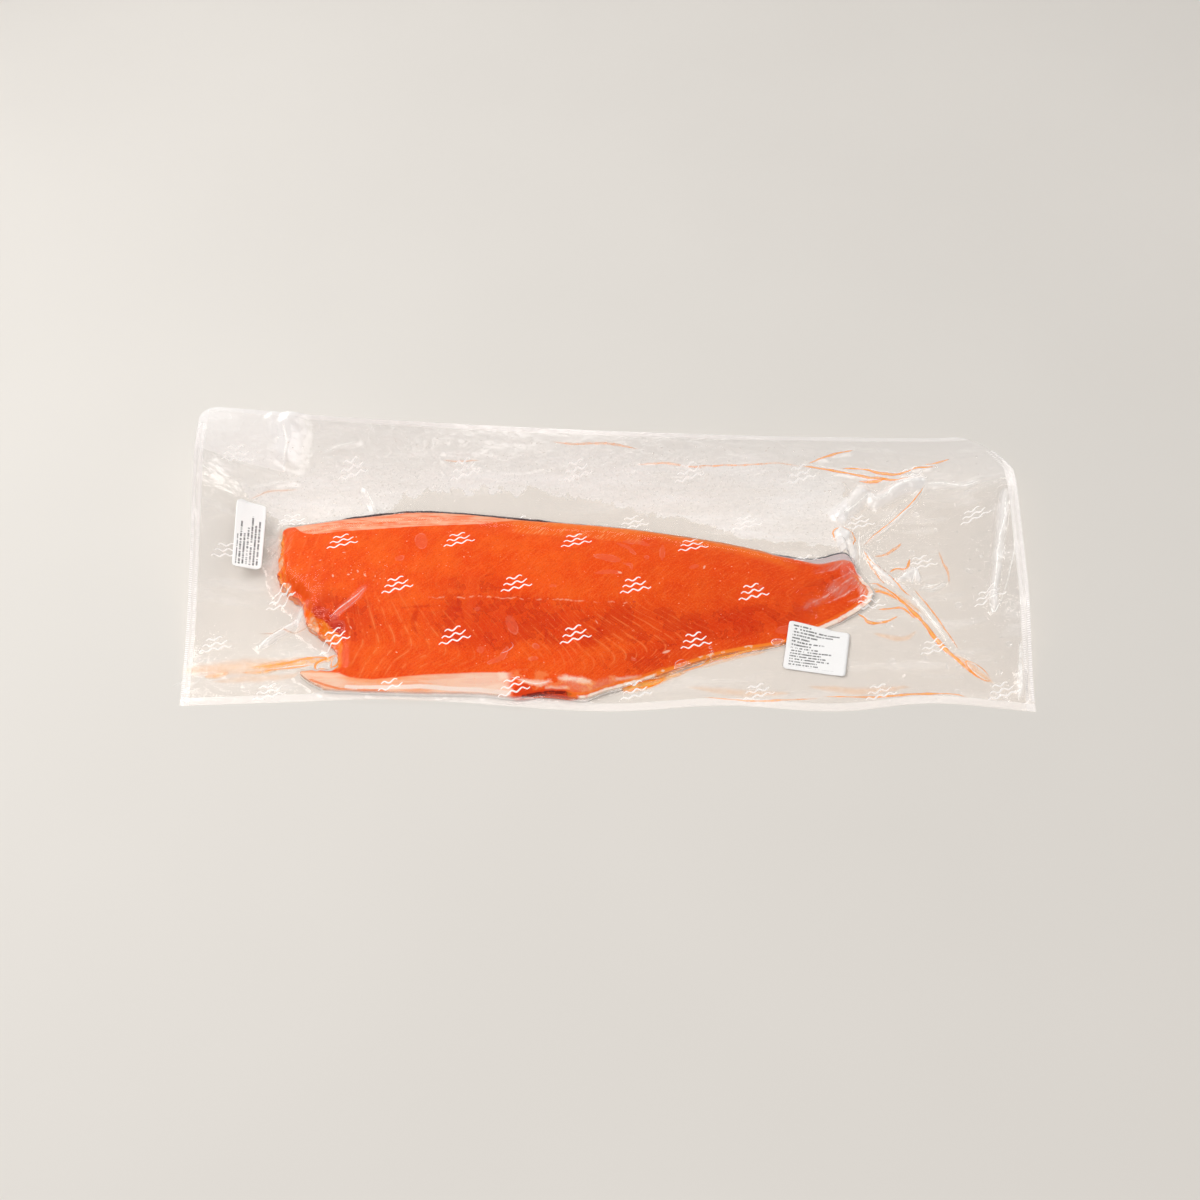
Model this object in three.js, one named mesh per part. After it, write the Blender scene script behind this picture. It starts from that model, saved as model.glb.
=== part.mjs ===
// A raw salmon fillet sealed in a clear bag, skin side down, with two paper labels on the film.
//
// Units are millimetres. The bag lies on z = 0 with +Z up, its long side along X and its front hem
// towards -Y. The origin is at the middle of the bag's outline, on the surface it lies on.
//
// The bag is one closed solid. Its under face is flat where the fillet lies and curls up at the
// left, back and right. Its upper face follows the film: over the fillet, down round its edges,
// and along the folds that gather at the tail.

import * as THREE from 'three';

// ---- driving dimensions -------------------------------------------------------------------

const HALF_LENGTH = 332;
const HALF_WIDTH = 135;
const SHEET_THICKNESS = 1.2;

const BACK_EDGE_MIDDLE = 125;
const BACK_EDGE_BOW_CENTRE = 20;
const LEFT_CORNER = { radius: 14, roundness: 2 };
const RIGHT_CORNER = { radius: 42, roundness: 1.7 };
const SIDE_TAPER = { depth: 12, from: -130, to: 85 };

// The front hem's wave, as [x, y].
const FRONT_HEM = [
  [-332, -130], [-240, -126], [-156, -123], [-4, -134.5],
  [88, -129], [170, -134.5], [244, -127], [320, -HALF_WIDTH],
];

// How high the free film curls up off the table. The back curl falls from its left to its right
// end. The side curls grow along y from one place to the other, and the right one fades again.
const CURL_CEILING = 54;
const BACK_CURL = { left: 53, right: 21, leftEnd: -320, rightEnd: 294, start: 62, bend: 1.5 };
const LEFT_CURL = { height: 52, grows: [-120, 130], start: -240, reach: 92, bend: 1.6 };
const RIGHT_CURL = { height: 28, grows: [-133, -23], start: 262, reach: 70, bend: 1.5 };
const RIGHT_CURL_FADE = { share: 0.7, over: [60, 135] };

// The fillet's outline, seen from above, as [x, y].
const DORSAL_EDGE = [
  [-258, 36], [-200, 50], [-144, 55], [-60, 46], [10, 38],
  [80, 24], [141, 7], [165, 5], [190, 12],
];
const TAIL_END = [[203, -2], [208, -22], [198, -37]];
const VENTRAL_EDGE = [
  [-205, -119], [-140, -121.5], [-60, -125], [-18, -127], [27, -110],
  [70, -88], [133, -73], [172, -54],
];
const COLLAR_CUT = [
  [-222, -114], [-230, -105], [-205, -101], [-207, -86], [-227, -66], [-244, -37], [-257, -6],
];

// Thickness along the fillet, as [x, mm], and its share across it, as [belly 0 to back 1, share].
const THICKNESS_ALONG = [[-258, 21], [-200, 25], [-100, 27], [0, 25], [80, 20], [150, 12], [208, 5]];
const THICKNESS_ACROSS = [[0, 0.28], [0.25, 0.5], [0.5, 0.85], [0.72, 1], [0.9, 0.92], [1, 0.62]];
const SHOULDER_WIDTH = 10;
const SHOULDER_DROP = 0.3;
const FILM_TENT_WIDTH = 4;
const FILM_TENT_PER_HEIGHT = 0.6;

// Standing folds of the film, each from one end to the other.
const FILM_FOLDS = [
  { name: 'tent at the collar', from: [-230, -50], to: [-268, -80], height: 6, width: 13 },
  { name: 'bubble behind the tail', from: [180, 48], to: [198, 34], height: 9, width: 19 },
  { name: 'gather over the tail', from: [207, 42], to: [205, 4], height: 10, width: 15 },
  { name: 'crease to the back', from: [206, 26], to: [262, 90], height: 5, width: 13 },
  { name: 'crease to the front', from: [206, 16], to: [288, -104], height: 4, width: 13 },
  { name: 'knot beside the tail', from: [236, -3], to: [251, -16], height: 6, width: 14 },
  { name: 'fold along the right side', from: [320, 78], to: [297, -43], height: 5, width: 10 },
  { name: 'curl at the back left', from: [-267, 112], to: [-261, 90], height: 4, width: 14 },
];

const LABELS = [
  { name: 'label_left', centre: [-286, 31.5], size: [22.5, 64], turn: 2.2, corner: 3.5, grid: [8, 18] },
  { name: 'label_right', centre: [160.5, -77.5], size: [47.5, 43], turn: -10, corner: 2.5, grid: [14, 12] },
];
const LABEL_THICKNESS = 0.5;
const LABEL_GAP = 0.6;

// Mesh fineness: columns along X, and rows in the three bands from the front hem to the back edge.
const COLUMNS = 74;
const ROWS_BEFORE_FILLET = 3;
const ROWS_OVER_FILLET = 18;
const ROWS_BEHIND_FILLET = 12;
const ROWS = ROWS_BEFORE_FILLET + ROWS_OVER_FILLET + ROWS_BEHIND_FILLET;
const OUTLINE_SAMPLES = 240;

const FILM_MATERIAL = new THREE.MeshStandardMaterial({ color: 0xe8b49a, roughness: 0.2, metalness: 0 });
const LABEL_MATERIAL = new THREE.MeshStandardMaterial({ color: 0xf1ece9, roughness: 0.6, metalness: 0 });

// ---- small helpers ------------------------------------------------------------------------

const { clamp, lerp, mapLinear, smoothstep, degToRad } = THREE.MathUtils;

/** A smooth curve y(x) through points sorted by x, held level past its two ends. */
function curveThrough(points) {
  const last = points.length - 1;
  const slopes = points.map((point, i) => {
    const before = points[Math.max(i - 1, 0)];
    const after = points[Math.min(i + 1, last)];
    return (after[1] - before[1]) / (after[0] - before[0]);
  });
  return (x) => {
    if (x <= points[0][0]) return points[0][1];
    if (x >= points[last][0]) return points[last][1];
    const k = points.findIndex((point, i) => i < last && x < points[i + 1][0]);
    const [x0, y0] = points[k];
    const [x1, y1] = points[k + 1];
    const width = x1 - x0;
    const t = (x - x0) / width;
    const t2 = t * t;
    const t3 = t2 * t;
    const start = (2 * t3 - 3 * t2 + 1) * y0 + (t3 - 2 * t2 + t) * width * slopes[k];
    const end = (3 * t2 - 2 * t3) * y1 + (t3 - t2) * width * slopes[k + 1];
    return start + end;
  };
}

/** How far a corner pulls a row's end in; roundness 2 is an arc, and 1 a straight cut. */
function cornerInset(distance, { radius, roundness }) {
  const rise = Math.max(1 - distance / radius, 0);
  return radius * (1 - (1 - rise ** roundness) ** (1 / roundness));
}

/** A closed sheet: an upper and a lower grid of points joined by a rim. */
function slabGeometry(columns, rows, upper, lower) {
  const positions = [];
  for (const face of [lower, upper]) {
    for (let row = 0; row <= rows; row += 1) {
      for (let column = 0; column <= columns; column += 1) {
        positions.push(...face(column, row));
      }
    }
  }
  const layer = (columns + 1) * (rows + 1);
  const at = (column, row) => row * (columns + 1) + column;
  const triangles = [];
  for (let row = 0; row < rows; row += 1) {
    for (let column = 0; column < columns; column += 1) {
      const a = at(column, row);
      const b = at(column + 1, row);
      const c = at(column + 1, row + 1);
      const d = at(column, row + 1);
      triangles.push(a, c, b, a, d, c);
      triangles.push(layer + a, layer + b, layer + c, layer + a, layer + c, layer + d);
    }
  }
  const rim = [];
  for (let column = 0; column < columns; column += 1) rim.push(at(column, 0));
  for (let row = 0; row < rows; row += 1) rim.push(at(columns, row));
  for (let column = columns; column > 0; column -= 1) rim.push(at(column, rows));
  for (let row = rows; row > 0; row -= 1) rim.push(at(0, row));
  rim.forEach((a, k) => {
    const b = rim[(k + 1) % rim.length];
    triangles.push(a, b, layer + b, a, layer + b, layer + a);
  });
  const geometry = new THREE.BufferGeometry();
  geometry.setAttribute('position', new THREE.Float32BufferAttribute(positions, 3));
  geometry.setIndex(triangles);
  return geometry;
}

// ---- the lie of the bag -------------------------------------------------------------------

const frontEdge = curveThrough(FRONT_HEM);

/** The back edge bows away from the middle, most at the left corner. */
function backEdge(x) {
  const leftCorner = -HALF_LENGTH + LEFT_CORNER.radius;
  const share = (x - BACK_EDGE_BOW_CENTRE) / (leftCorner - BACK_EDGE_BOW_CENTRE);
  return BACK_EDGE_MIDDLE + (HALF_WIDTH - BACK_EDGE_MIDDLE) * share * share;
}

/** The side seals run slightly apart from the front hem to near the back. */
function sideEdge(y) {
  const { depth, from, to } = SIDE_TAPER;
  return HALF_LENGTH - depth * (1 - clamp((y - from) / (to - from), 0, 1));
}

/** A curl that starts level and bends up to its full height at the film's edge. */
function curl(height, share, bend) {
  return height * Math.max(share, 0) ** bend;
}

/** Height of the bag's under side above the table. */
function lift(x, y) {
  const { leftEnd, rightEnd } = BACK_CURL;
  const backHeight = mapLinear(x, leftEnd, rightEnd, BACK_CURL.left, BACK_CURL.right);
  const backShare = (y - BACK_CURL.start) / (backEdge(x) - BACK_CURL.start);
  const leftHeight = LEFT_CURL.height * smoothstep(y, ...LEFT_CURL.grows);
  const leftShare = (LEFT_CURL.start - x) / LEFT_CURL.reach;
  const fade = 1 - RIGHT_CURL_FADE.share * smoothstep(y, ...RIGHT_CURL_FADE.over);
  const rightHeight = RIGHT_CURL.height * smoothstep(y, ...RIGHT_CURL.grows) * fade;
  const rightShare = (x - RIGHT_CURL.start) / RIGHT_CURL.reach;
  const parts = [
    curl(backHeight, backShare, BACK_CURL.bend),
    curl(leftHeight, leftShare, LEFT_CURL.bend),
    curl(rightHeight, rightShare, RIGHT_CURL.bend),
  ];
  const level = parts.reduce((left, part) => left * (1 - part / CURL_CEILING), 1);
  return CURL_CEILING * (1 - level);
}

// ---- the fillet under the film ------------------------------------------------------------

const dorsalEdge = curveThrough(DORSAL_EDGE);
const ventralEdge = curveThrough(VENTRAL_EDGE);
const thicknessAlong = curveThrough(THICKNESS_ALONG);
const thicknessAcross = curveThrough(THICKNESS_ACROSS);

/** The closed outline: along the back, round the tail, along the belly and up the collar cut. */
function filletOutline() {
  const corners = [...DORSAL_EDGE, ...TAIL_END, ...VENTRAL_EDGE.toReversed(), ...COLLAR_CUT];
  const points = corners.map(([x, y]) => new THREE.Vector3(x, y, 0));
  const loop = new THREE.CatmullRomCurve3(points, true, 'centripetal');
  return loop.getPoints(OUTLINE_SAMPLES).slice(0, OUTLINE_SAMPLES);
}

const outline = filletOutline();

/** Distance to the fillet's outline, positive inside it. */
function depthInFillet(x, y) {
  let nearest = Infinity;
  let inside = false;
  outline.forEach((a, k) => {
    const b = outline[(k + 1) % outline.length];
    const along = clamp(((x - a.x) * (b.x - a.x) + (y - a.y) * (b.y - a.y)) / a.distanceToSquared(b), 0, 1);
    nearest = Math.min(nearest, Math.hypot(lerp(a.x, b.x, along) - x, lerp(a.y, b.y, along) - y));
    const crosses = (a.y > y) !== (b.y > y) && x < a.x + ((b.x - a.x) * (y - a.y)) / (b.y - a.y);
    inside = crosses ? !inside : inside;
  });
  return inside ? nearest : -nearest;
}

/** The flesh's thickness, level across outside the outline. */
function fleshThickness(x, y) {
  const belly = ventralEdge(x);
  const across = clamp((y - belly) / (dorsalEdge(x) - belly), 0, 1);
  return thicknessAlong(x) * thicknessAcross(across);
}

/** Height of the film over the fillet, with rounded shoulders and a tent down to the table. */
function filletRelief(x, y) {
  const depth = depthInFillet(x, y);
  const thickness = fleshThickness(x, y);
  if (depth >= 0) {
    const shoulder = 1 - Math.min(depth / SHOULDER_WIDTH, 1);
    return thickness * (1 - SHOULDER_DROP * shoulder * shoulder);
  }
  const tent = FILM_TENT_WIDTH + FILM_TENT_PER_HEIGHT * thickness;
  const share = Math.max(1 + depth / tent, 0);
  return thickness * (1 - SHOULDER_DROP) * share * share;
}

/** Height of one standing fold, highest along its line and gone at its width. */
function foldRelief(fold, x, y) {
  const [x0, y0] = fold.from;
  const [x1, y1] = fold.to;
  const lengthSquared = (x1 - x0) ** 2 + (y1 - y0) ** 2;
  const along = clamp(((x - x0) * (x1 - x0) + (y - y0) * (y1 - y0)) / lengthSquared, 0, 1);
  const distance = Math.hypot(lerp(x0, x1, along) - x, lerp(y0, y1, along) - y);
  return fold.height * (1 - smoothstep(distance, 0, fold.width));
}

/** Height of the bag's upper face above its under face. */
function fullness(x, y) {
  const folds = FILM_FOLDS.map((fold) => foldRelief(fold, x, y));
  return SHEET_THICKNESS + Math.max(filletRelief(x, y), ...folds);
}

// ---- the bag ------------------------------------------------------------------------------

const bellyRow = curveThrough([[-HALF_LENGTH, -108], ...VENTRAL_EDGE, [HALF_LENGTH, -96]]);
const backRow = curveThrough([[-HALF_LENGTH, 46], ...DORSAL_EDGE, [HALF_LENGTH, 30]]);

/** The y of a row at x: the rows run along the fillet's belly and back edges. */
function rowPlace(row, x) {
  if (row <= ROWS_BEFORE_FILLET) {
    return lerp(frontEdge(x), bellyRow(x), row / ROWS_BEFORE_FILLET);
  }
  const overFillet = row - ROWS_BEFORE_FILLET;
  if (overFillet <= ROWS_OVER_FILLET) {
    return lerp(bellyRow(x), backRow(x), overFillet / ROWS_OVER_FILLET);
  }
  return lerp(backRow(x), backEdge(x), (overFillet - ROWS_OVER_FILLET) / ROWS_BEHIND_FILLET);
}

/** Place of a grid point in the bag's outline, as [x, y]. */
function bagPlace(column, row) {
  const share = column / COLUMNS;
  const roughX = lerp(-HALF_LENGTH + LEFT_CORNER.radius, HALF_LENGTH - RIGHT_CORNER.radius, share);
  const roughY = rowPlace(row, roughX);
  const fromBack = backEdge(roughX) - roughY;
  const left = -sideEdge(roughY) + cornerInset(fromBack, LEFT_CORNER);
  const right = sideEdge(roughY) - cornerInset(fromBack, RIGHT_CORNER);
  const x = lerp(left, right, share);
  return [x, rowPlace(row, x)];
}

function bagMesh() {
  const under = (column, row) => {
    const [x, y] = bagPlace(column, row);
    return [x, y, lift(x, y)];
  };
  const over = (column, row) => {
    const [x, y] = bagPlace(column, row);
    return [x, y, lift(x, y) + fullness(x, y)];
  };
  const mesh = new THREE.Mesh(slabGeometry(COLUMNS, ROWS, over, under), FILM_MATERIAL);
  mesh.name = 'sealed_bag';
  return mesh;
}

// ---- the labels ---------------------------------------------------------------------------

/** The height of the bag's upper face straight below a point high above it. */
function heightOf(bag, x, y) {
  const above = new THREE.Vector3(x, y, 2 * CURL_CEILING);
  const down = new THREE.Vector3(0, 0, -1);
  return new THREE.Raycaster(above, down).intersectObject(bag)[0].point.z;
}

/** A thin rounded plate that follows the film under it. */
function labelMesh(label, bag) {
  const [width, height] = label.size;
  const [columns, rows] = label.grid;
  const turn = degToRad(label.turn);
  const corner = { radius: label.corner, roundness: 2 };
  const place = (column, row) => {
    const up = lerp(-height / 2, height / 2, row / rows);
    const inset = cornerInset(height / 2 - Math.abs(up), corner);
    const across = lerp(-width / 2 + inset, width / 2 - inset, column / columns);
    const x = label.centre[0] + across * Math.cos(turn) - up * Math.sin(turn);
    const y = label.centre[1] + across * Math.sin(turn) + up * Math.cos(turn);
    return [x, y, heightOf(bag, x, y) + LABEL_GAP];
  };
  const over = (column, row) => {
    const [x, y, z] = place(column, row);
    return [x, y, z + LABEL_THICKNESS];
  };
  const mesh = new THREE.Mesh(slabGeometry(columns, rows, over, place), LABEL_MATERIAL);
  mesh.name = label.name;
  return mesh;
}

// ---- the part -----------------------------------------------------------------------------

const part = new THREE.Group();
const bag = bagMesh();
part.add(bag);
for (const label of LABELS) {
  part.add(labelMesh(label, bag));
}

export default part;
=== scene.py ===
# %% [markdown]
# # A raw salmon side in a clear bag
# The real thing is a fillet of salmon, skin down, sealed between two sheets of clear film, with
# two paper labels stuck on top. The construction model gives one plain solid for the bag and two
# thin plates for the labels. Here each of them is replaced by what the eye sees: flesh, skin,
# film, seals, juice and paper, all inside the same space.

# %% Load the construction model
import math

import bpy
import numpy as np
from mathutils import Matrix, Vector
from mathutils.geometry import delaunay_2d_cdt


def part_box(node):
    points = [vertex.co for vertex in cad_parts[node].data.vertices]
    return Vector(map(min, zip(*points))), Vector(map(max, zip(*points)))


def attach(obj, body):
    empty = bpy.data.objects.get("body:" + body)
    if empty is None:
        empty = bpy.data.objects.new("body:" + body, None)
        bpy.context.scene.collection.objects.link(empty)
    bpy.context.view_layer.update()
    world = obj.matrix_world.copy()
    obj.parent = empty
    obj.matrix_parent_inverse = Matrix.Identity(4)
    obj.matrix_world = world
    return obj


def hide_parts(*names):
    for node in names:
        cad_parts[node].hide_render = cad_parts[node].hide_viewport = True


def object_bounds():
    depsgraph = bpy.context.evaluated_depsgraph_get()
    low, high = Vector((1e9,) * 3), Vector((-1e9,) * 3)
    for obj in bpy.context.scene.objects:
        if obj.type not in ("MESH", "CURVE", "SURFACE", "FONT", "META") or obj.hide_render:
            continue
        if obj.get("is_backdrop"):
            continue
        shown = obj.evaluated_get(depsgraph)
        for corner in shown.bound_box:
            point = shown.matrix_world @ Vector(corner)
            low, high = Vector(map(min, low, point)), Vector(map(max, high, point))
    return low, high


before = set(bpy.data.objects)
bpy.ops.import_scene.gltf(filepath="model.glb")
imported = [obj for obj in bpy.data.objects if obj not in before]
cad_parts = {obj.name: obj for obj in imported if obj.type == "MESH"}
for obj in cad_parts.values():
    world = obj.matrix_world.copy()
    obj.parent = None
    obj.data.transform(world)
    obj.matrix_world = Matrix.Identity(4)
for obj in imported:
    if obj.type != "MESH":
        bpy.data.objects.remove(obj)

cad_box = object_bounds()
bag_low, bag_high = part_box("sealed_bag")
print("nodes:", sorted(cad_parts), "bag:", [round(v, 3) for v in bag_high - bag_low])

# %% [markdown]
# ## Measures
# Blender works in metres, and a kitchen ruler in millimetres. All shapes below are worked out in
# millimetres with numpy, which handles a whole array of points at once, and are turned to metres
# only when a mesh is made. A few small functions draw everything: soft steps, curves through a
# handful of points, random hills, and the distance to a line.

# %% Units, and small curves to draw with
MM = 0.001


def smoothstep(value, start, end):
    """Rises gently from 0 at start to 1 at end."""
    share = np.clip((np.asarray(value, float) - start) / (end - start), 0, 1)
    return share * share * (3 - 2 * share)


def hill(distance, width):
    """1 at no distance, and gently down to 0 at the width."""
    return 1 - smoothstep(distance, 0, width)


def curve_through(points):
    """A smooth curve y(x) through points sorted by x, held level past its ends."""
    xs, ys = np.array(points, float).T
    before, after = np.arange(len(xs)) - 1, np.arange(len(xs)) + 1
    before[0], after[-1] = 0, len(xs) - 1
    slopes = (ys[after] - ys[before]) / (xs[after] - xs[before])

    def height(x):
        x = np.clip(np.asarray(x, float), xs[0], xs[-1])
        k = np.clip(np.searchsorted(xs, x, side="right") - 1, 0, len(xs) - 2)
        width = xs[k + 1] - xs[k]
        t = (x - xs[k]) / width
        start = (2 * t**3 - 3 * t**2 + 1) * ys[k] + (t**3 - 2 * t**2 + t) * width * slopes[k]
        end = (3 * t**2 - 2 * t**3) * ys[k + 1] + (t**3 - t**2) * width * slopes[k + 1]
        return start + end
    return height


def hills(x, y, size, seed):
    """Smooth random ups and downs from -1 to 1, each about as wide as size."""
    heights = np.random.default_rng(seed).uniform(-1, 1, (128, 128))
    u, v = np.asarray(x) / size + 64, np.asarray(y) / size + 64
    i, j = np.floor(u).astype(int), np.floor(v).astype(int)
    fu, fv = smoothstep(u - i, 0, 1), smoothstep(v - j, 0, 1)
    i, j, i1, j1 = i % 128, j % 128, (i + 1) % 128, (j + 1) % 128
    low = heights[i, j] * (1 - fu) + heights[i1, j] * fu
    high = heights[i, j1] * (1 - fu) + heights[i1, j1] * fu
    return low * (1 - fv) + high * fv


def distance_to_line(x, y, path):
    """How far points lie from a path of straight stretches, and how far along it, 0 to 1."""
    path = np.array(path, float)
    lengths = np.hypot(*np.diff(path, axis=0).T)
    passed = np.concatenate([[0], np.cumsum(lengths)])
    nearest = np.full(np.shape(x), 1e9)
    along = np.zeros(np.shape(x))
    for k, length in enumerate(lengths):
        (ax, ay), (bx, by) = path[k], path[k + 1]
        t = ((x - ax) * (bx - ax) + (y - ay) * (by - ay)) / length**2
        t = t if k == len(lengths) - 1 else np.minimum(t, 1)
        t = t if k == 0 else np.maximum(t, 0)
        near = np.clip(t, 0, 1)
        d = np.hypot(ax + near * (bx - ax) - x, ay + near * (by - ay) - y)
        along = np.where(d < nearest, (passed[k] + t * length) / passed[-1], along)
        nearest = np.minimum(d, nearest)
    return nearest, along


print("one metre is", round(1 / MM), "mm, and half way up a soft step is", float(smoothstep(0.5, 0, 1)))

# %% [markdown]
# ## Camera, floor and light
# The fillet is seen from in front and well above, so the camera looks down at 50 degrees. A pale
# floor and big soft lamps suit clear film: film has hardly any colour of its own, and what we see
# of it is the light that slides over its folds. Two narrow lamps behind and beside the bag draw
# those lines of light.

# %% Camera
VIEW_DOWN = math.radians(50)
VIEW_DISTANCE = 1437 * MM
LOOKED_AT = (-5.5 * MM, -26 * MM, 0)
LENS = 54.93

camera_data = bpy.data.cameras.new("camera")
camera_data.lens = LENS
camera = bpy.data.objects.new("camera", camera_data)
camera.location = (
    LOOKED_AT[0],
    LOOKED_AT[1] - VIEW_DISTANCE * math.cos(VIEW_DOWN),
    VIEW_DISTANCE * math.sin(VIEW_DOWN),
)
camera.rotation_euler = (math.pi / 2 - VIEW_DOWN, 0, 0)
bpy.context.collection.objects.link(camera)
bpy.context.scene.camera = camera
print("camera at", [round(v, 3) for v in camera.location])


# %% Lamps and sky
SKY_COLOUR, SKY_STRENGTH = (1.0, 0.99, 0.98, 1), 0.26


def lamp(name, place, size, power):
    """A soft rectangular lamp, its size in metres, turned towards the bag."""
    data = bpy.data.lights.new(name, "AREA")
    data.shape = "RECTANGLE"
    data.size, data.size_y = size
    data.energy = power
    made = bpy.data.objects.new(name, data)
    made.location = place
    made.rotation_euler = (-Vector(place)).to_track_quat("-Z", "Y").to_euler()
    bpy.context.collection.objects.link(made)


lamp("key_lamp", (-1.1, 0.3, 1.25), (1.1, 0.9), 16.5)
lamp("front_lamp", (0.45, -1.35, 1.5), (1.3, 0.9), 16)
lamp("back_strip", (0.1, 1.3, 0.62), (1.9, 0.14), 3.5)
lamp("side_strip", (0.9, 0.5, 0.9), (0.12, 0.8), 2)

world = bpy.data.worlds.new("studio")
world.use_nodes = True
sky = world.node_tree.nodes["Background"]
sky.inputs["Color"].default_value = SKY_COLOUR
sky.inputs["Strength"].default_value = SKY_STRENGTH
bpy.context.scene.world = world
bpy.context.scene.view_settings.view_transform = "Standard"

# %% [markdown]
# ## Writing materials as sums
# A Blender material is a board of nodes. Placing each Math node by hand hides the sum that it
# belongs to, so the small class below wraps a socket and lets Python write the sum: `1 - mask`
# adds a Subtract node. All other nodes come from one method, which sets a node's options first
# and then fills or links its sockets.


# %% Sockets that sums can be written with
class Wire:
    """An output socket that sums can be written with."""

    def __init__(self, board, socket):
        self.board = board
        self.socket = socket

    def sum(self, operation, *values):
        return self.board.node("ShaderNodeMath", {"operation": operation}, dict(enumerate(values)))

    def __add__(self, other):
        return self.sum("ADD", self, other)

    def __sub__(self, other):
        return self.sum("SUBTRACT", self, other)

    def __rsub__(self, other):
        return self.sum("SUBTRACT", other, self)

    def __mul__(self, other):
        return self.sum("MULTIPLY", self, other)

    def __truediv__(self, other):
        return self.sum("DIVIDE", self, other)

    def lower(self, other):
        return self.sum("MINIMUM", self, other)

    def higher(self, other):
        return self.sum("MAXIMUM", self, other)

    def away(self):
        """How far from 0, on either side."""
        return self.sum("ABSOLUTE", self)

    def part(self):
        """What is left over a whole number."""
        return self.sum("FRACT", self)

    __radd__ = __add__
    __rmul__ = __mul__


print("a wire also knows:", [key for key in vars(Wire) if not key.startswith("_")])

# %% A board of nodes
# How strongly clear film bends light.
FILM_IOR = 1.5


class Board:
    """A material and its nodes."""

    def __init__(self, name):
        self.material = bpy.data.materials.new(name)
        self.material.use_nodes = True
        self.tree = self.material.node_tree
        self.tree.nodes.clear()

    def node(self, kind, settings=None, sockets=None, output=0):
        """Makes one node: its settings first, then the values or wires of its sockets."""
        made = self.tree.nodes.new(kind)
        for key, value in (settings or {}).items():
            setattr(made, key, value)
        for key, value in (sockets or {}).items():
            if isinstance(value, Wire):
                self.tree.links.new(value.socket, made.inputs[key])
            else:
                made.inputs[key].default_value = value
        return Wire(self, made.outputs[output]) if made.outputs else None

    def place(self):
        """Where a point of the piece is, in metres."""
        return self.node("ShaderNodeTexCoord", output="Object")

    def stretched(self, x, y, z, turn=0):
        """The place, turned about the vertical and then stretched along each axis."""
        sockets = {"Vector": self.place(), "Rotation": (0, 0, math.radians(turn))}
        sockets["Scale"] = (1 / x, 1 / y, 1 / z)
        return self.node("ShaderNodeMapping", {"vector_type": "TEXTURE"}, sockets)

    def painted(self, name):
        """A value that the mesh carries at each of its points."""
        return self.node("ShaderNodeAttribute", {"attribute_name": name}, output="Fac")

    def noise(self, at, detail, scale=1.0, rough=0.5):
        """Cloudy noise from about 0 to 1."""
        sockets = {"Vector": at, "Scale": scale, "Detail": detail, "Roughness": rough}
        return self.node("ShaderNodeTexNoise", None, sockets)

    def grain(self, size, detail=2.0, rough=0.5):
        """Noise all over the piece, with lumps of the given size in millimetres."""
        return self.noise(self.place(), detail, 1 / (size * MM), rough)

    def mirror(self):
        """How much a sheet of film mirrors: little face on, and all along it."""
        return self.node("ShaderNodeFresnel", None, {"IOR": FILM_IOR})

    def ramp(self, value, start, end, low=0.0, high=1.0):
        """Carries a value from one range to another, with soft ends."""
        settings = {"interpolation_type": "SMOOTHSTEP"}
        sockets = dict(enumerate((value, start, end, low, high)))
        return self.node("ShaderNodeMapRange", settings, sockets)

    def band(self, value, start, end, soft):
        """1 between start and end, with soft sides."""
        return self.ramp(value, start, start + soft) * self.ramp(value, end - soft, end, 1.0, 0.0)

    def mix(self, mask, colour, other):
        """The first colour where the mask is 0, and the other where it is 1."""
        sides = [side if isinstance(side, Wire) else paint(*side) for side in (colour, other)]
        return self.node("ShaderNodeMix", {"data_type": "RGBA"}, {0: mask, 6: sides[0], 7: sides[1]}, 2)

    def bump(self, height, depth, strength=1.0):
        """A normal from a height of 0 to 1, with its depth in millimetres."""
        sockets = {"Height": height, "Distance": depth * MM, "Strength": strength}
        return self.node("ShaderNodeBump", None, sockets)

    def surface(self, settings, see_through=None, clear=(1, 1, 1, 1)):
        """Ends the board in a Principled shader, mixed with a clear one by see_through."""
        shader = self.node("ShaderNodeBsdfPrincipled", None, settings)
        if see_through is not None:
            nothing = self.node("ShaderNodeBsdfTransparent", None, {"Color": clear})
            shader = self.node("ShaderNodeMixShader", None, {0: see_through, 1: shader, 2: nothing})
        self.node("ShaderNodeOutputMaterial", None, {"Surface": shader})
        return self.material


def paint(red, green, blue):
    """A colour of 0 to 255 as a screen shows it, turned into amounts of light."""
    share = [v / 255 for v in (red, green, blue)]
    light = [v / 12.92 if v <= 0.04045 else ((v + 0.055) / 1.055) ** 2.4 for v in share]
    return (*light, 1)


print("white paper is", [round(v, 2) for v in paint(241, 236, 233)])

# %% [markdown]
# ## Meshes from sheets
# Film, labels, seals and juice are all sheets that follow another sheet. One helper makes a mesh
# from points and faces, links it to the scene, hangs it on the root body and hides the part it
# replaces. Values that the material needs, such as how fogged the film is, are stored on the mesh's
# points.


# %% Mesh helpers
def add_piece(name, points, faces, material, values=None, shadow=True, stands_for="sealed_bag",
              slot="film"):
    """A smooth mesh in the scene, riding on the body and standing for its node."""
    mesh = bpy.data.meshes.new(name)
    mesh.from_pydata((np.asarray(points, float) * MM).tolist(), [], faces)
    mesh.materials.append(material)
    mesh.shade_smooth()
    for key, numbers in (values or {}).items():
        layer = mesh.attributes.new(key, "FLOAT", "POINT")
        layer.data.foreach_set("value", np.ascontiguousarray(numbers, dtype=np.float32).ravel())
    piece = bpy.data.objects.new(name, mesh)
    piece.visible_shadow = shadow
    bpy.context.collection.objects.link(piece)
    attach(piece, "root")
    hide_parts(stands_for)
    print(f"{name}: {len(mesh.vertices)} points, {len(faces)} faces")
    return piece


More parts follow.
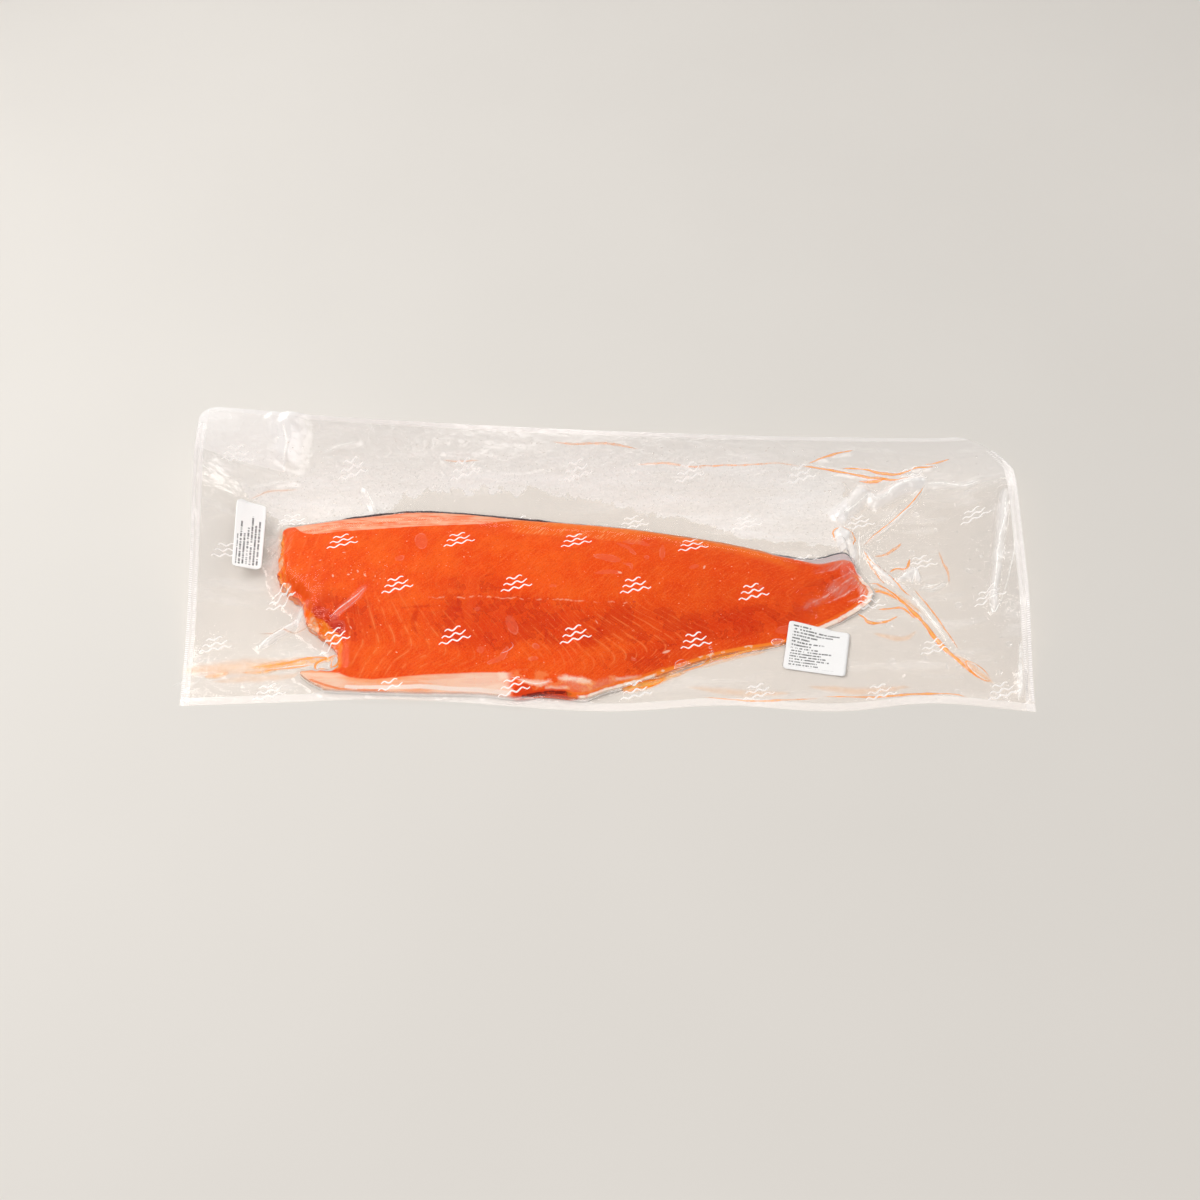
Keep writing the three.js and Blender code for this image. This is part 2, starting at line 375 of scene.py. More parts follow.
def grid_faces(columns, rows, first=0):
    """Four-sided faces of a grid whose points are listed row by row."""
    at = first + np.arange(columns * rows).reshape(rows, columns)
    corners = (at[:-1, :-1], at[:-1, 1:], at[1:, 1:], at[1:, :-1])
    return np.stack([c.ravel() for c in corners], axis=1).tolist()


def ring_faces(upper, lower):
    """Faces between two closed rings of points."""
    return np.stack([upper, lower, np.roll(lower, -1), np.roll(upper, -1)], axis=1).tolist()


# %% [markdown]
# ## How the bag lies
# The bag is a long sheet. Its front hem waves a little, its sides run slightly apart, and the free
# film behind and beside the fillet curls up off the table. These are the same measures that the
# construction model is built from, so the film ends up where that model is.

# %% The bag's edges and its curl
HALF_LENGTH, HALF_WIDTH = round(bag_high[0] / MM), round(bag_high[1] / MM)
BACK_EDGE_MIDDLE, BOW_CENTRE = 125, 20
# How far each back corner reaches, and how round it is.
LEFT_CORNER, RIGHT_CORNER = (14, 2.0), (42, 1.7)
SIDE_TAPER = {"depth": 12, "from": -130, "to": 85}
# Each curl of the free film: where it starts, how high its edge stands, and how it bends.
BACK_CURL = {"start": 62, "heights": (53, 21), "between": (-320, 294), "bend": 1.5}
LEFT_CURL = {"start": -240, "height": 52, "grows": (-120, 130), "bend": 1.6}
RIGHT_CURL = {"start": 262, "height": 28, "grows": (-133, -23), "bend": 1.5}
RIGHT_CURL_FADE = {"share": 0.7, "over": (60, 135)}
CURL_CEILING = 54

front_edge = curve_through([
    (-332, -130), (-240, -126), (-156, -123), (-4, -134.5),
    (88, -129), (170, -134.5), (244, -127), (320, -135),
])


def back_edge(x):
    """The y of the bag's back edge, which lies further back at both ends."""
    reach = HALF_LENGTH - LEFT_CORNER[0] + BOW_CENTRE
    return BACK_EDGE_MIDDLE + (HALF_WIDTH - BACK_EDGE_MIDDLE) * ((x - BOW_CENTRE) / reach) ** 2


def side_edge(y):
    """Half the bag's length at a row; the bag is a little shorter in front."""
    share = (y - SIDE_TAPER["from"]) / (SIDE_TAPER["to"] - SIDE_TAPER["from"])
    return HALF_LENGTH - SIDE_TAPER["depth"] * (1 - np.clip(share, 0, 1))


def corner_inset(distance, corner):
    """How far a corner pulls a row's end in; roundness 2 is an arc, and 1 a straight cut."""
    radius, roundness = corner
    rise = np.maximum(1 - distance / radius, 0)
    return radius * (1 - (1 - rise**roundness) ** (1 / roundness))


def rising(place, curl, edge):
    """0 before a curl starts, and 1 at the film's edge."""
    return np.maximum((place - curl["start"]) / (edge - curl["start"]), 0) ** curl["bend"]


def lift(x, y):
    """Height of the bag's under side above the table."""
    (high, low), (first, last) = BACK_CURL["heights"], BACK_CURL["between"]
    back_height = high - (high - low) * (x - first) / (last - first)
    left_height = LEFT_CURL["height"] * smoothstep(y, *LEFT_CURL["grows"])
    right_height = RIGHT_CURL["height"] * smoothstep(y, *RIGHT_CURL["grows"])
    right_height = right_height * (1 - RIGHT_CURL_FADE["share"] * smoothstep(y, *RIGHT_CURL_FADE["over"]))
    curls = (
        back_height * rising(y, BACK_CURL, back_edge(x)),
        left_height * rising(x, LEFT_CURL, -HALF_LENGTH),
        right_height * rising(x, RIGHT_CURL, HALF_LENGTH),
    )
    level = np.ones(np.shape(x))
    for height in curls:
        level = level * (1 - height / CURL_CEILING)
    return CURL_CEILING * (1 - level)


def bag_ends(y, from_back):
    """The x of the bag's left and right end at a row."""
    left = -side_edge(y) + corner_inset(from_back, LEFT_CORNER)
    right = side_edge(y) - corner_inset(from_back, RIGHT_CORNER)
    return left, right


def bag_grid(columns, rows):
    """Two grids of x and y all over the bag, from lists of shares along it and across it."""
    along, across = np.meshgrid(columns, rows)
    rough_x = (LEFT_CORNER[0] - HALF_LENGTH) * (1 - along) + (HALF_LENGTH - RIGHT_CORNER[0]) * along
    rough_y = front_edge(rough_x) * (1 - across) + back_edge(rough_x) * across
    left, right = bag_ends(rough_y, np.maximum(back_edge(rough_x) - rough_y, 0))
    x = left * (1 - along) + right * along
    return x, front_edge(x) * (1 - across) + back_edge(x) * across


print("back edge stands up to", round(float(lift(-318.0, 135.0)), 1), "mm")

# %% [markdown]
# ## The fillet's outline
# A side of salmon is cut off behind the gills, so its left end is a slanting, slightly torn cut.
# Its back is a long gentle bow, its belly flap is thin and ends in a point, and its tail is blunt.
# Four short lists give these stretches, and a rounded loop runs through them. Where the knife
# went through, the loop is made ragged by a little noise.

# %% The outline
DORSAL = [(-258, 40), (-247, 42.8), (-200, 50), (-144, 55), (-60, 46), (10, 39), (80, 27.5), (113, 20.5),
          (141, 13.5), (165, 11.5), (188, 19)]
TAIL = [(194, 12), (197, 0), (203, -11), (208.5, -20), (205, -30), (194, -40)]
VENTRAL = [(-205, -117), (-140, -119.5), (-96, -120.5), (-68, -124), (-49, -121.5), (-34, -123),
           (-18, -125), (-2, -118.5), (26, -108.5), (70, -89), (94, -81), (137, -70.5), (176, -52)]
COLLAR = [(-216, -114), (-226, -108), (-232, -101), (-218, -100), (-208, -99), (-205.5, -93), (-206, -84),
          (-210, -77), (-218, -69), (-226, -62), (-232, -54), (-234, -44), (-237, -36), (-247, -27),
          (-254, -19), (-258, -12), (-258.5, -4), (-258.5, 14), (-259.5, 31)]

dorsal_edge, ventral_edge = curve_through(DORSAL), curve_through(VENTRAL)


def smooth_curve(points, step, closed=False, parts=24):
    """Evenly spaced points on a smooth curve (Catmull-Rom) through the given ones."""
    points = np.array(points, float)
    if closed:
        points = np.concatenate([points[-1:], points, points[:2]])
    else:
        points = np.concatenate([[2 * points[0] - points[1]], points, [2 * points[-1] - points[-2]]])
    t = np.linspace(0, 1, parts, endpoint=False)[:, None]
    fine = []
    for p0, p1, p2, p3 in zip(points, points[1:], points[2:], points[3:]):
        bend, twist = 2 * p0 - 5 * p1 + 4 * p2 - p3, 3 * p1 - p0 - 3 * p2 + p3
        fine.append(0.5 * (2 * p1 + (p2 - p0) * t + bend * t**2 + twist * t**3))
    fine = np.concatenate(fine + [points[-2:-1]])
    passed = np.concatenate([[0], np.cumsum(np.hypot(*np.diff(fine, axis=0).T))])
    count = round(passed[-1] / step) if closed else max(int(passed[-1] / step), 4)
    wanted = np.arange(count) * passed[-1] / (count if closed else count - 1)
    return np.stack([np.interp(wanted, passed, fine[:, i]) for i in (0, 1)], axis=1)


def in_collar(x, y):
    """1 along the torn cut behind the gills, and 0 elsewhere."""
    return smoothstep(-x - 0.35 * y, 208, 214) * (1 - smoothstep(y, 30, 36)) * smoothstep(y, -103, -96)


OUTLINE_STEP = 1.25
outline = smooth_curve(DORSAL + TAIL + VENTRAL[::-1] + COLLAR, OUTLINE_STEP, closed=True, parts=40)
inward = np.roll(outline, 1, axis=0) - np.roll(outline, -1, axis=0)
inward = np.stack([-inward[:, 1], inward[:, 0]], axis=1) / np.hypot(*inward.T)[:, None]
ragged = 1.3 * hills(*outline.T, 5.0, 3) + 1.0 * hills(*outline.T, 2.2, 4)
knife_cut = np.maximum(in_collar(*outline.T), 0.5 * smoothstep(outline[:, 0], 188, 194))
ragged = ragged * (0.12 + 0.88 * knife_cut)
outline = outline - inward * ragged[:, None]
print("outline:", len(outline), "points, fillet", round(float(np.ptp(outline[:, 0]))), "mm long")


# %% How deep inside the outline a point lies, and how thick the meat is there
thickness_along = curve_through([(-258, 21), (-200, 25), (-100, 27), (0, 25), (80, 20), (150, 12), (208, 5)])
thickness_across = curve_through([(0, 0.16), (0.12, 0.3), (0.25, 0.47), (0.5, 0.85), (0.72, 1),
                                  (0.9, 0.92), (1, 0.62)])


def nearest_on_outline(x, y):
    """Distance to the outline, positive inside it, and the number of the nearest outline point."""
    x, y = np.asarray(x, float), np.asarray(y, float)
    nearest = np.full(x.shape, 1e9)
    number = np.zeros(x.shape, int)
    crossings = np.zeros(x.shape, int)
    ends = np.roll(outline, -1, axis=0)
    for k, ((ax, ay), (bx, by)) in enumerate(zip(outline, ends)):
        size = (bx - ax) ** 2 + (by - ay) ** 2
        t = np.clip(((x - ax) * (bx - ax) + (y - ay) * (by - ay)) / size, 0, 1)
        d = (ax + t * (bx - ax) - x) ** 2 + (ay + t * (by - ay) - y) ** 2
        number = np.where(d < nearest, k, number)
        nearest = np.minimum(d, nearest)
        if ay != by:
            crossings += ((ay > y) != (by > y)) & (x < ax + (bx - ax) * (y - ay) / (by - ay))
    return np.where(crossings % 2 == 1, 1, -1) * np.sqrt(nearest), number


def share_across(x, y):
    """0 at the belly edge, and 1 at the back."""
    return np.clip((y - ventral_edge(x)) / (dorsal_edge(x) - ventral_edge(x)), 0, 1)


def flesh_thickness(x, y):
    """How thick the meat is, without its rounded edge."""
    return thickness_along(x) * thickness_across(share_across(x, y))


print("meat in the middle:", round(float(flesh_thickness(0, -30)), 1), "mm thick")

# %% [markdown]
# ## The flesh
# The flesh is one closed body. Its upper face is a close net of points over the outline, made by
# Delaunay triangulation, which fills any outline with well-shaped triangles. Each point is lifted
# to the meat's thickness, and then pushed in and out a little: flakes leave shallow steps, the
# surface is not quite level, and the cut end is torn. The flakes of a fish are nested W shapes, so
# one function counts them: it leans back and forth from the belly to the back.

# %% Relief of the flesh
SHOULDER, SHOULDER_DROP = 10, 0.3
SKIN_THICKNESS = 0.9
CUT_BEVEL, CUT_DROP = 9, 0.42
flake_lean = curve_through([(-0.1, -6), (0.06, 18), (0.15, 34), (0.3, 20), (0.46, 0), (0.6, 8), (0.88, 34),
                            (1, 30)])
flake_grow = curve_through([(-258, 0.12), (-195, 0.25), (-140, 0.8), (-90, 1.2), (208, 1.3)])
flake_shift = curve_through([(-258, 0.16), (-150, 0.06), (-60, 0)])
# The first flake's place and width, and by what share each next one is narrower.
FLAKES_START, FLAKE_WIDTH, FLAKE_SHRINK = -258, 8.8, 0.0055
TORN_LINE = [(-223, -54), (-213, -60), (-206, -70)]


def flake_count(x, y):
    """Counts the flakes from the cut end on; a whole number is the line between two flakes."""
    start = x - flake_lean(share_across(x, y) - flake_shift(x)) * flake_grow(x) + 1.6 * hills(x, y, 22, 11)
    return -np.log(1 - FLAKE_SHRINK * (start - FLAKES_START) / FLAKE_WIDTH) / FLAKE_SHRINK


def torn(x, y):
    """1 where the flesh is torn open beside the cut end."""
    return hill(distance_to_line(x, y, TORN_LINE)[0], 9)


def smooth_flesh(x, y, depth):
    """Height of the flesh above the table without its small relief."""
    shoulder = 1 - np.clip(depth / SHOULDER, 0, 1)
    return SKIN_THICKNESS + flesh_thickness(x, y) * (1 - SHOULDER_DROP * shoulder**2)


def flesh_relief(x, y, depth):
    """Small ups and downs of the flesh: swells, flake steps, torn crags and a ragged, slanting cut."""
    swell = 0.55 * hills(x, y, 31, 21) + 0.2 * hills(x, y, 11, 22) + 0.1 * hills(x, y, 4, 28)
    leaf = np.mod(flake_count(x, y), 1)
    step = 0.14 * (leaf - 0.5) * (0.6 + 0.4 * hills(x, y, 40, 23)) * (leaf < 0.97)
    crags = torn(x, y) * (np.abs(hills(x, y, 6, 24)) * 2.2 + np.abs(hills(x, y, 2.6, 25)) * 1.1)
    lumps = 1.1 * hills(x, y, 5.2, 26) + 0.45 * hills(x, y, 2.1, 27)
    slant = CUT_DROP * (0.35 + 0.65 * smoothstep(-y, 8, 48)) * (1 - 0.5 * smoothstep(-y, 74, 86))
    cut = in_collar(x, y) * hill(depth, CUT_BEVEL) * (lumps - slant * flesh_thickness(x, y))
    return smoothstep(depth, 0, 6) * (swell + step) - crags + cut


print("flakes from the cut end to the tail:", round(float(flake_count(200, -20))))

# %% Net of points over the outline
FLESH_STEP = 1.05
NET_X, NET_Y = (-262, 212), (-130, 60)
rows = np.arange(*NET_Y, FLESH_STEP * math.sqrt(3) / 2)
net_x, net_y = np.meshgrid(np.arange(*NET_X, FLESH_STEP), rows)
net_x = net_x + np.where(np.arange(len(rows))[:, None] % 2 == 1, FLESH_STEP / 2, 0)
net_depth, _ = nearest_on_outline(net_x, net_y)
kept = net_depth > 0.6 * FLESH_STEP
net = np.concatenate([outline, np.stack([net_x[kept], net_y[kept]], axis=1)])
ring = len(outline)
made = delaunay_2d_cdt([tuple(p) for p in net], [(i, (i + 1) % ring) for i in range(ring)], [], 1, 1e-5)
flesh_xy, flesh_faces = np.array([tuple(p) for p in made[0]]), [list(f) for f in made[2]]
print("net:", len(flesh_xy), "points,", len(flesh_faces), "triangles, kept", len(flesh_xy) == len(net))

# %% [markdown]
# The colours of raw salmon change over the fillet: orange-red meat, a paler fatty stripe along the
# back, a pale lining on the belly flap, darker meat in the middle, and grey sinew at the tail.
# For each of them the mesh stores a margin: how many millimetres a point lies inside its zone,
# less than zero outside. A margin changes evenly from point to point, so the material can cut a
# sharp or a ragged edge out of it, finer than the mesh itself. Zones are ovals, narrow paths, flat
# facets or strips along the outline.


# %% Margins of simple shapes
def oval_margin(x, y, centre, size, turn=0.0):
    """How far inside an oval a point is, in millimetres."""
    c, s = math.cos(math.radians(turn)), math.sin(math.radians(turn))
    u = ((x - centre[0]) * c + (y - centre[1]) * s) / size[0]
    v = ((y - centre[1]) * c - (x - centre[0]) * s) / size[1]
    return (1 - np.hypot(u, v)) * min(size)


def path_margin(x, y, path, half):
    """How far inside a narrow mark a point is; the mark is half wide on each side of its path."""
    distance, along = distance_to_line(x, y, path)
    taper = smoothstep(along, -0.1, 0.3) * (1 - smoothstep(along, 0.7, 1.1))
    return half * (0.35 + 0.65 * taper) - distance


def facet_margin(x, y, corners):
    """How far inside a facet with straight sides a point is, its corners listed anticlockwise."""
    sides = []
    for (ax, ay), (bx, by) in zip(corners, corners[1:] + corners[:1]):
        sides.append(((bx - ax) * (y - ay) - (by - ay) * (x - ax)) / math.hypot(bx - ax, by - ay))
    return np.min(np.stack(sides), axis=0)


def widest(margins):
    return np.max(np.stack(list(margins)), axis=0)


print("middle of an oval of 5 by 3 mm:", float(oval_margin(0, 0, (0, 0), (5, 3))), "mm inside")


# %% Spots and lines on the meat
# Places where the film doesn't touch the wet meat: centre, half size and turn, or path and half width.
DRY_SPOTS = [
    ((-146, 12), (5, 8), 8), ((-162, -5), (3.5, 2.4), 15), ((1, -5), (11, 3.4), -12),
    ((-42, -32), (3, 1.4), 0), ((68, -10), (4, 2.2), 30), ((31, -3), (2, 1.8), 0),
    ((-73, -65), (4.0, 8.5), 24), ((-54, -83), (3, 2), -30), ((-96, -85), (3, 3), 0),
    ((-56, -93), (3.4, 1.8), 10), ((120, -26), (3, 2), 0), ((138, -60), (9, 3.4), 10),
    ((-100, -52), (2.4, 1.8), 0), ((20, -92), (2.4, 1), 0),
]
DRY_PATHS = [
    ([(8, 11), (16, 7), (22, 0)], 1.7), ([(13, 13), (24, 13.5), (33, 10)], 2.4),
    ([(-9, -20), (2, -18), (10, -19)], 1.9), ([(12, -10), (19, -11), (19, -16)], 1.1),
    ([(44, 11), (43, -5)], 2.0), ([(-90, -96), (-80, -92), (-76, -84)], 2.2),
    ([(-209, -57), (-201, -49), (-193, -42), (-187, -33)], 2.4),
]
# Sinew and clear skin at the tail: centre, half size and turn.
SINEW_SPOTS = [((184, -19), (15, 7), 38), ((199, -9), (7, 8), 40), ((179, 1), (12, 3), 30),
               ((166, -33), (12, 2.5), 25)]
FROST_PATHS = [
    ([(196, -6), (204, -15), (203, -26)], 0.7), ([(205, -12), (202, -21), (199, -30)], 0.6),
    ([(188, -32), (196, -29), (204, -22)], 0.6), ([(190, 2), (196, -5), (200, -12)], 0.6),
    ([(160, -35), (172, -28), (186, -15), (198, -6)], 0.4), ([(164, -8), (178, -3.5), (187, 6)], 0.3),
    ([(170, -35), (186, -26), (200, -14)], 0.3), ([(178, -14), (190, -6), (196, 0)], 0.3),
]
# Dark, wet meat: centre, half size and turn.
DEEP_SPOTS = [
    ((-98, -62), (34, 22), -15), ((-52, -62), (58, 17), -8), ((10, -58), (40, 10), 5),
    ((-200, -56), (26, 16), -30), ((-96, -30), (18, 6), 0), ((90, -58), (60, 11), 12),
    ((181, -9), (8, 2.5), 25), ((164, -20), (10, 3.5), 20), ((40, -84), (40, 9), 22),
    ((26, -72), (9, 5), 0), ((65, -66), (7, 5), 0), ((-4, -73), (4, 8), 25),
]
BONE_LINE = [(-142, -41), (-98, -42), (-52, -44), (-15, -46), (26, -45)]
# Soft dark cleft lines in the wet meat, darkened as painted shade: path and half width.
SHADED_CLEFTS = [
    ([(-158, -50), (-144, -49), (-127, -48), (-116, -51), (-111, -58)], 0.9),
    ([(-145, -49), (-148, -58), (-148, -66), (-145, -71)], 1.8), ([(-50, -65), (-47, -70), (-47, -76)], 1.2),
    ([(-10, -63), (-7, -68), (-2, -76), (2, -82)], 1.6), ([(-34, -67), (-25, -74), (-13, -76)], 1.0),
    ([(-115, -40), (-115, -47), (-113, -53), (-110, -60)], 1.1),
]
fat_low = curve_through([(-250, 36), (-242, 26), (-231, 23), (-212, 24), (-168, 27), (-132, 29), (-100, 31),
                         (-80, 36), (-50, 46)])
print("spots on the meat:", len(DRY_SPOTS) + len(DRY_PATHS) + len(SINEW_SPOTS) + len(DEEP_SPOTS))

# %% Marks of the cut end and the belly
FACETS = [[(-222, -57), (-218, -57), (-213, -50), (-225, -50.5)],
          [(-203, -75), (-200, -64), (-202, -60.5), (-212, -59), (-214, -64), (-211, -69)]]
# Pale, see-through pieces at the cut end: centre, half size and turn.
CHUNKS = [((-227, -60), (4.5, 8), 20), ((-257, -3), (3, 6), 0), ((-250, -23), (4, 2), -30),
          ((-208, -88), (2, 5), 0)]
# Torn tissue and pale flecks, most of them near the cut end: centre, half size and turn.
FLECK_SPOTS = [
    ((-213, -21), (0.8, 1.4), 20), ((-201, -20), (1.1, 0.7), 0), ((-194, -17), (1.5, 0.6), -50),
    ((-188, -21), (1.7, 0.6), -55), ((-180, -22), (0.5, 1.1), 10), ((-224, -6), (1.2, 0.5), 20),
    ((-238, -14), (0.8, 0.4), 0), ((-206, 1), (1.4, 0.5), 10), ((-230, -12), (0.6, 0.5), 0),
    ((-196, -66), (0.5, 1.8), 40), ((45, -84), (3.4, 1), 25), ((-8, -62), (0.5, 2), 30),
    ((76, -10), (0.7, 2), -20), ((10, -19), (1.8, 0.8), -20),
]
# Pale fat beside the hole in the belly, and painted highlights on the wet meat there: path and half width.
CREAM_AND_SHEEN_PATHS = [
    ([(-65, -111), (-57, -113), (-50, -114), (-43, -111)], 1.5), ([(-81, -106), (-76, -109)], 3.0),
    ([(-36, -109), (-26, -110), (-14, -112)], 2.0), ([(7, -109), (16, -107.5), (25, -106)], 0.8),
    ([(-46, -117), (-38, -117.5), (-31, -116.5)], 0.8), ([(-92, -117), (-80, -116), (-72, -119)], 1.6),
]
CLEAR_FAT = [((-20, -115), (14, 6), -6), ((-3, -113.5), (11, 4), 20)]
# Where the belly is cut open: ovals, and the dark slit along them, dark from clotted blood and from painted
# shade in the crevice.
HOLE_SPOTS = [((-44, -123.5), (19, 6), 2), ((-63, -120.5), (7.5, 6.5), 0)]
SLIT = [(-63, -123.7), (-53, -121.4), (-44, -120.2), (-34, -120.4), (-28, -122.2)]
lining_top = curve_through([(-231, -99), (-212, -101.5), (-203, -103.5), (-194, -107), (-179, -109),
                            (-164, -108), (-149, -106.5), (-119, -105), (-96, -104), (-70, -105)])
WHITE_LINE = [(-196, -115), (-186, -115.7), (-163, -115.5), (-141, -115), (-118, -117),
              (-96, -118), (-74, -121)]
ORANGE_LINE = [(-224, -108.5), (-212, -113.5), (-201, -116.5), (-186, -117.5), (-165, -118)]
print("marks of the cut end and the belly:", len(CHUNKS) + len(FLECK_SPOTS) + len(CREAM_AND_SHEEN_PATHS))


# %% Margins of all zones
MARGIN_LIMIT = 20


def line_margin(x, y, line, half):
    """How far inside a line of even width a point is."""
    return half - distance_to_line(x, y, line)[0]


def flesh_margins(x, y, depth):
    """The margin of each paint's zone at each point."""
    from_belly, from_back = y - ventral_edge(x), dorsal_edge(x) - y
    at_cut = in_collar(x, y) > 0.5
    rim_width = 1.6 + 5.5 * smoothstep(-y, 38, 58) * (1 - 0.75 * smoothstep(-y, 74, 86))
    white_rim = np.minimum(2.0 - from_belly, np.minimum(x + 22, 36 - x) * 0.3)
    tail_rim = np.minimum(3.2 - depth, np.minimum(x - 150, -8 - y))
    bone_sway = 0.9 * hills(x, 0 * x, 5, 31) + 0.5 * hills(x, 0 * x, 1.9, 32)
    margins = {
        "lining": np.minimum(lining_top(x) - y, (-73 - x) * 0.24),
        "fat": np.minimum(y - fat_low(x), (x + 256) * 0.4),
        "shoulder": np.minimum(26 - from_back, np.minimum(x + 74, 26 - x) * 0.6),
        "rim": np.minimum(13 - from_back, np.minimum((x + 60) * 0.15, (132 - x) * 0.3)),
        "collar_rim": np.where(at_cut, rim_width - depth, -5),
        "collar_hatch": np.where(at_cut, 9 - depth, -5) - 12 * smoothstep(-y, 8, 30),
        "white_rim": np.maximum(white_rim, tail_rim),
        "orange_rim": np.minimum(2.8 - from_belly, np.minimum(x - 8, 146 - x) * 0.3),
        "silver": np.minimum(2.5 + 8 * smoothstep(x, 140, 172) - from_back, (x - 128) * 0.3),
        "frost": oval_margin(x, y, (203, -18), (6, 14), 12),
        "patchy": oval_margin(x, y, (-54, -112), (26, 9), -4),
        "white_line": line_margin(x, y, WHITE_LINE, 1.7),
        "orange_line": line_margin(x, y, ORANGE_LINE, 0.8),
        "slit": line_margin(x, y, SLIT, 1.3),
        "torn": line_margin(x, y, TORN_LINE, 6.5),
        "bone_line": line_margin(x, y + bone_sway, BONE_LINE, 0.5),
        "facets": widest(facet_margin(x, y, facet) for facet in FACETS),
    }
    ovals = {"hole": HOLE_SPOTS, "clear_fat": CLEAR_FAT, "dry": DRY_SPOTS, "sinew": SINEW_SPOTS,
             "deep": DEEP_SPOTS, "flecks": FLECK_SPOTS, "chunks": CHUNKS}
    paths = {"frost_line": FROST_PATHS, "cream": CREAM_AND_SHEEN_PATHS, "clefts": SHADED_CLEFTS, "dry_path": DRY_PATHS}
    for name, spots in ovals.items():
        margins[name] = widest(oval_margin(x, y, *spot) for spot in spots)
    for name, lines in paths.items():
        margins[name] = widest(path_margin(x, y, *line) for line in lines)
    margins["hole"] = np.minimum(margins["hole"], x + 72)
    margins["dry"] = np.maximum(margins["dry"], margins.pop("dry_path"))
    margins = {name: np.clip(margin, -MARGIN_LIMIT, MARGIN_LIMIT) for name, margin in margins.items()}
    shown = 0.22 + 0.4 * hill(np.hypot((x + 235) / 40, (y - 6) / 40), 1)
    for centre, size in (((-165, -80), (75, 50)), ((10, -74), (90, 34))):
        shown = shown + hill(np.hypot((x - centre[0]) / size[0], (y - centre[1]) / size[1]), 1.2)
    margins["flake_show"] = np.clip(shown, 0, 1)
    margins["flakes"] = flake_count(x, y)
    return margins


print("margins reach", MARGIN_LIMIT, "mm into and out of a zone")

# %% Close the flesh with walls and an under face
WALL_RINGS = 5
WALL_SLOPE, WALL_BULGE = 1.2, 0.9
flesh_depth, _ = nearest_on_outline(*flesh_xy.T)
flesh_depth[:ring] = 0
top_z = smooth_flesh(*flesh_xy.T, flesh_depth) + flesh_relief(*flesh_xy.T, flesh_depth)
points, faces = [np.column_stack([flesh_xy, top_z])], list(flesh_faces)
above, count = np.arange(ring), len(flesh_xy)
for k in range(1, WALL_RINGS + 1):
    share = k / WALL_RINGS
    pulled_in = WALL_SLOPE * share - WALL_BULGE * math.sin(math.pi * share)
    height = SKIN_THICKNESS + (top_z[:ring] - SKIN_THICKNESS) * (1 - share)
    points.append(np.column_stack([outline + inward * pulled_in, height]))
    below = count + np.arange(ring)
    faces += ring_faces(above, below)
    above, count = below, count + ring
faces.append(above.tolist())
points = np.concatenate(points)
depth_all = np.concatenate([flesh_depth, np.zeros(WALL_RINGS * ring)])
margins = flesh_margins(points[:, 0], points[:, 1], depth_all)
print("flesh stands", round(float(points[:, 2].max()), 1), "mm high")

# %% [markdown]
# Raw salmon is wet, a little see-through and never one flat orange. The paint starts from two
# oranges clouded together, then lays the zones over them one by one, each with an edge frayed by
# noise. Thin pale lines mark the tissue between flakes: they come from the flake count, whose whole
# numbers are the lines. Fibres run the same way, because their noise is stretched along the flakes.
# A little light is let into the meat with subsurface scattering, which makes flesh look soft.


# %% A board that lays coats of paint
class Painting(Board):
    """A board that builds its colour up coat over coat, inside zones with frayed edges."""

    def __init__(self, name):
        super().__init__(name)
        grains = [self.grain(size, 4, 0.6) for size in (24, 9, 2.4, 1.1)]
        self.cloud, self.lump, self.fleck, self.tiny = grains
        self.fray = (self.lump - 0.5) * 5 + (self.fleck - 0.5) * 2.4
        self.x, self.y = (self.node("ShaderNodeSeparateXYZ", None, {0: self.place()}, k) for k in (0, 1))
        self.streak, self.slant, self.hair = (
            self.noise(self.stretched(*size), 4)
            for size in ((60, 420, 60), (110, 800, 60, 40), (120, 1100, 60, 55))
        )
        self.colour = (255, 255, 255)

    def zone(self, name, soft=0.8, ragged=1.0):
        """1 inside the zone of that name."""
        return self.ramp(self.painted(name) + self.fray * ragged, -soft / 2, soft / 2)

    def lay(self, mask, tone):
        """Lays a tone over the colour where the mask is above 0."""
        self.colour = self.mix(mask, self.colour, tone)


meat = Painting("raw_salmon")
print("first nodes of the meat:", len(meat.tree.nodes))

# %% Clouds, fibres and lines between the flakes
flakes, shown = meat.painted("flakes"), meat.painted("flake_show")
fibre = meat.noise(meat.node("ShaderNodeCombineXYZ", None, {0: flakes * 7, 1: meat.y * 90}), 4)
meat.colour = meat.mix(meat.ramp(meat.cloud, 0.35, 0.68), (246, 80, 6), (253, 98, 18))
# The first coat darkens the meat towards its right end: painted shade, as the light falls off there.
for grain, start, end, share, tone in (
    (meat.x, -0.06, 0.1, 0.3, (222, 58, 4)),
    (meat.tiny, 0.5, 0.64, 0.3, (255, 128, 54)),
    (meat.tiny, 0.48, 0.36, 0.3, (222, 52, 0)),
    (meat.slant, 0.55, 0.7, 0.3, (255, 130, 56)),
    (meat.slant, 0.45, 0.33, 0.18, (222, 50, 2)),
):
    meat.lay(meat.ramp(grain, start, end) * share, tone)
deep = meat.ramp(meat.painted("deep") + meat.fray * 1.6, -9, 9)
patch = meat.grain(19, 3, 0.55) * 0.72 + meat.grain(6, 3, 0.6) * 0.28
in_patches = meat.ramp(deep, 0.1, 0.6, 0.22, 1.0)
meat.lay(deep * 0.48, (216, 46, 0))
meat.lay(meat.ramp(patch, 0.518, 0.532) * in_patches * 0.36, (206, 40, 0))
meat.lay(meat.band(patch, 0.508, 0.53, 0.007) * in_patches * 0.45, (186, 30, 0))
meat.lay(meat.ramp(fibre, 0.54, 0.72) * (0.12 + shown * 0.24), (255, 134, 62))
meat.lay(meat.ramp(fibre, 0.45, 0.31) * (0.06 + shown * 0.14), (214, 44, 0))
to_line = ((flakes + 0.5).part() - 0.5).away()
broken = meat.ramp(meat.grain(8, 3, 0.6), 0.44, 0.58, 0.1, 1.0) * shown
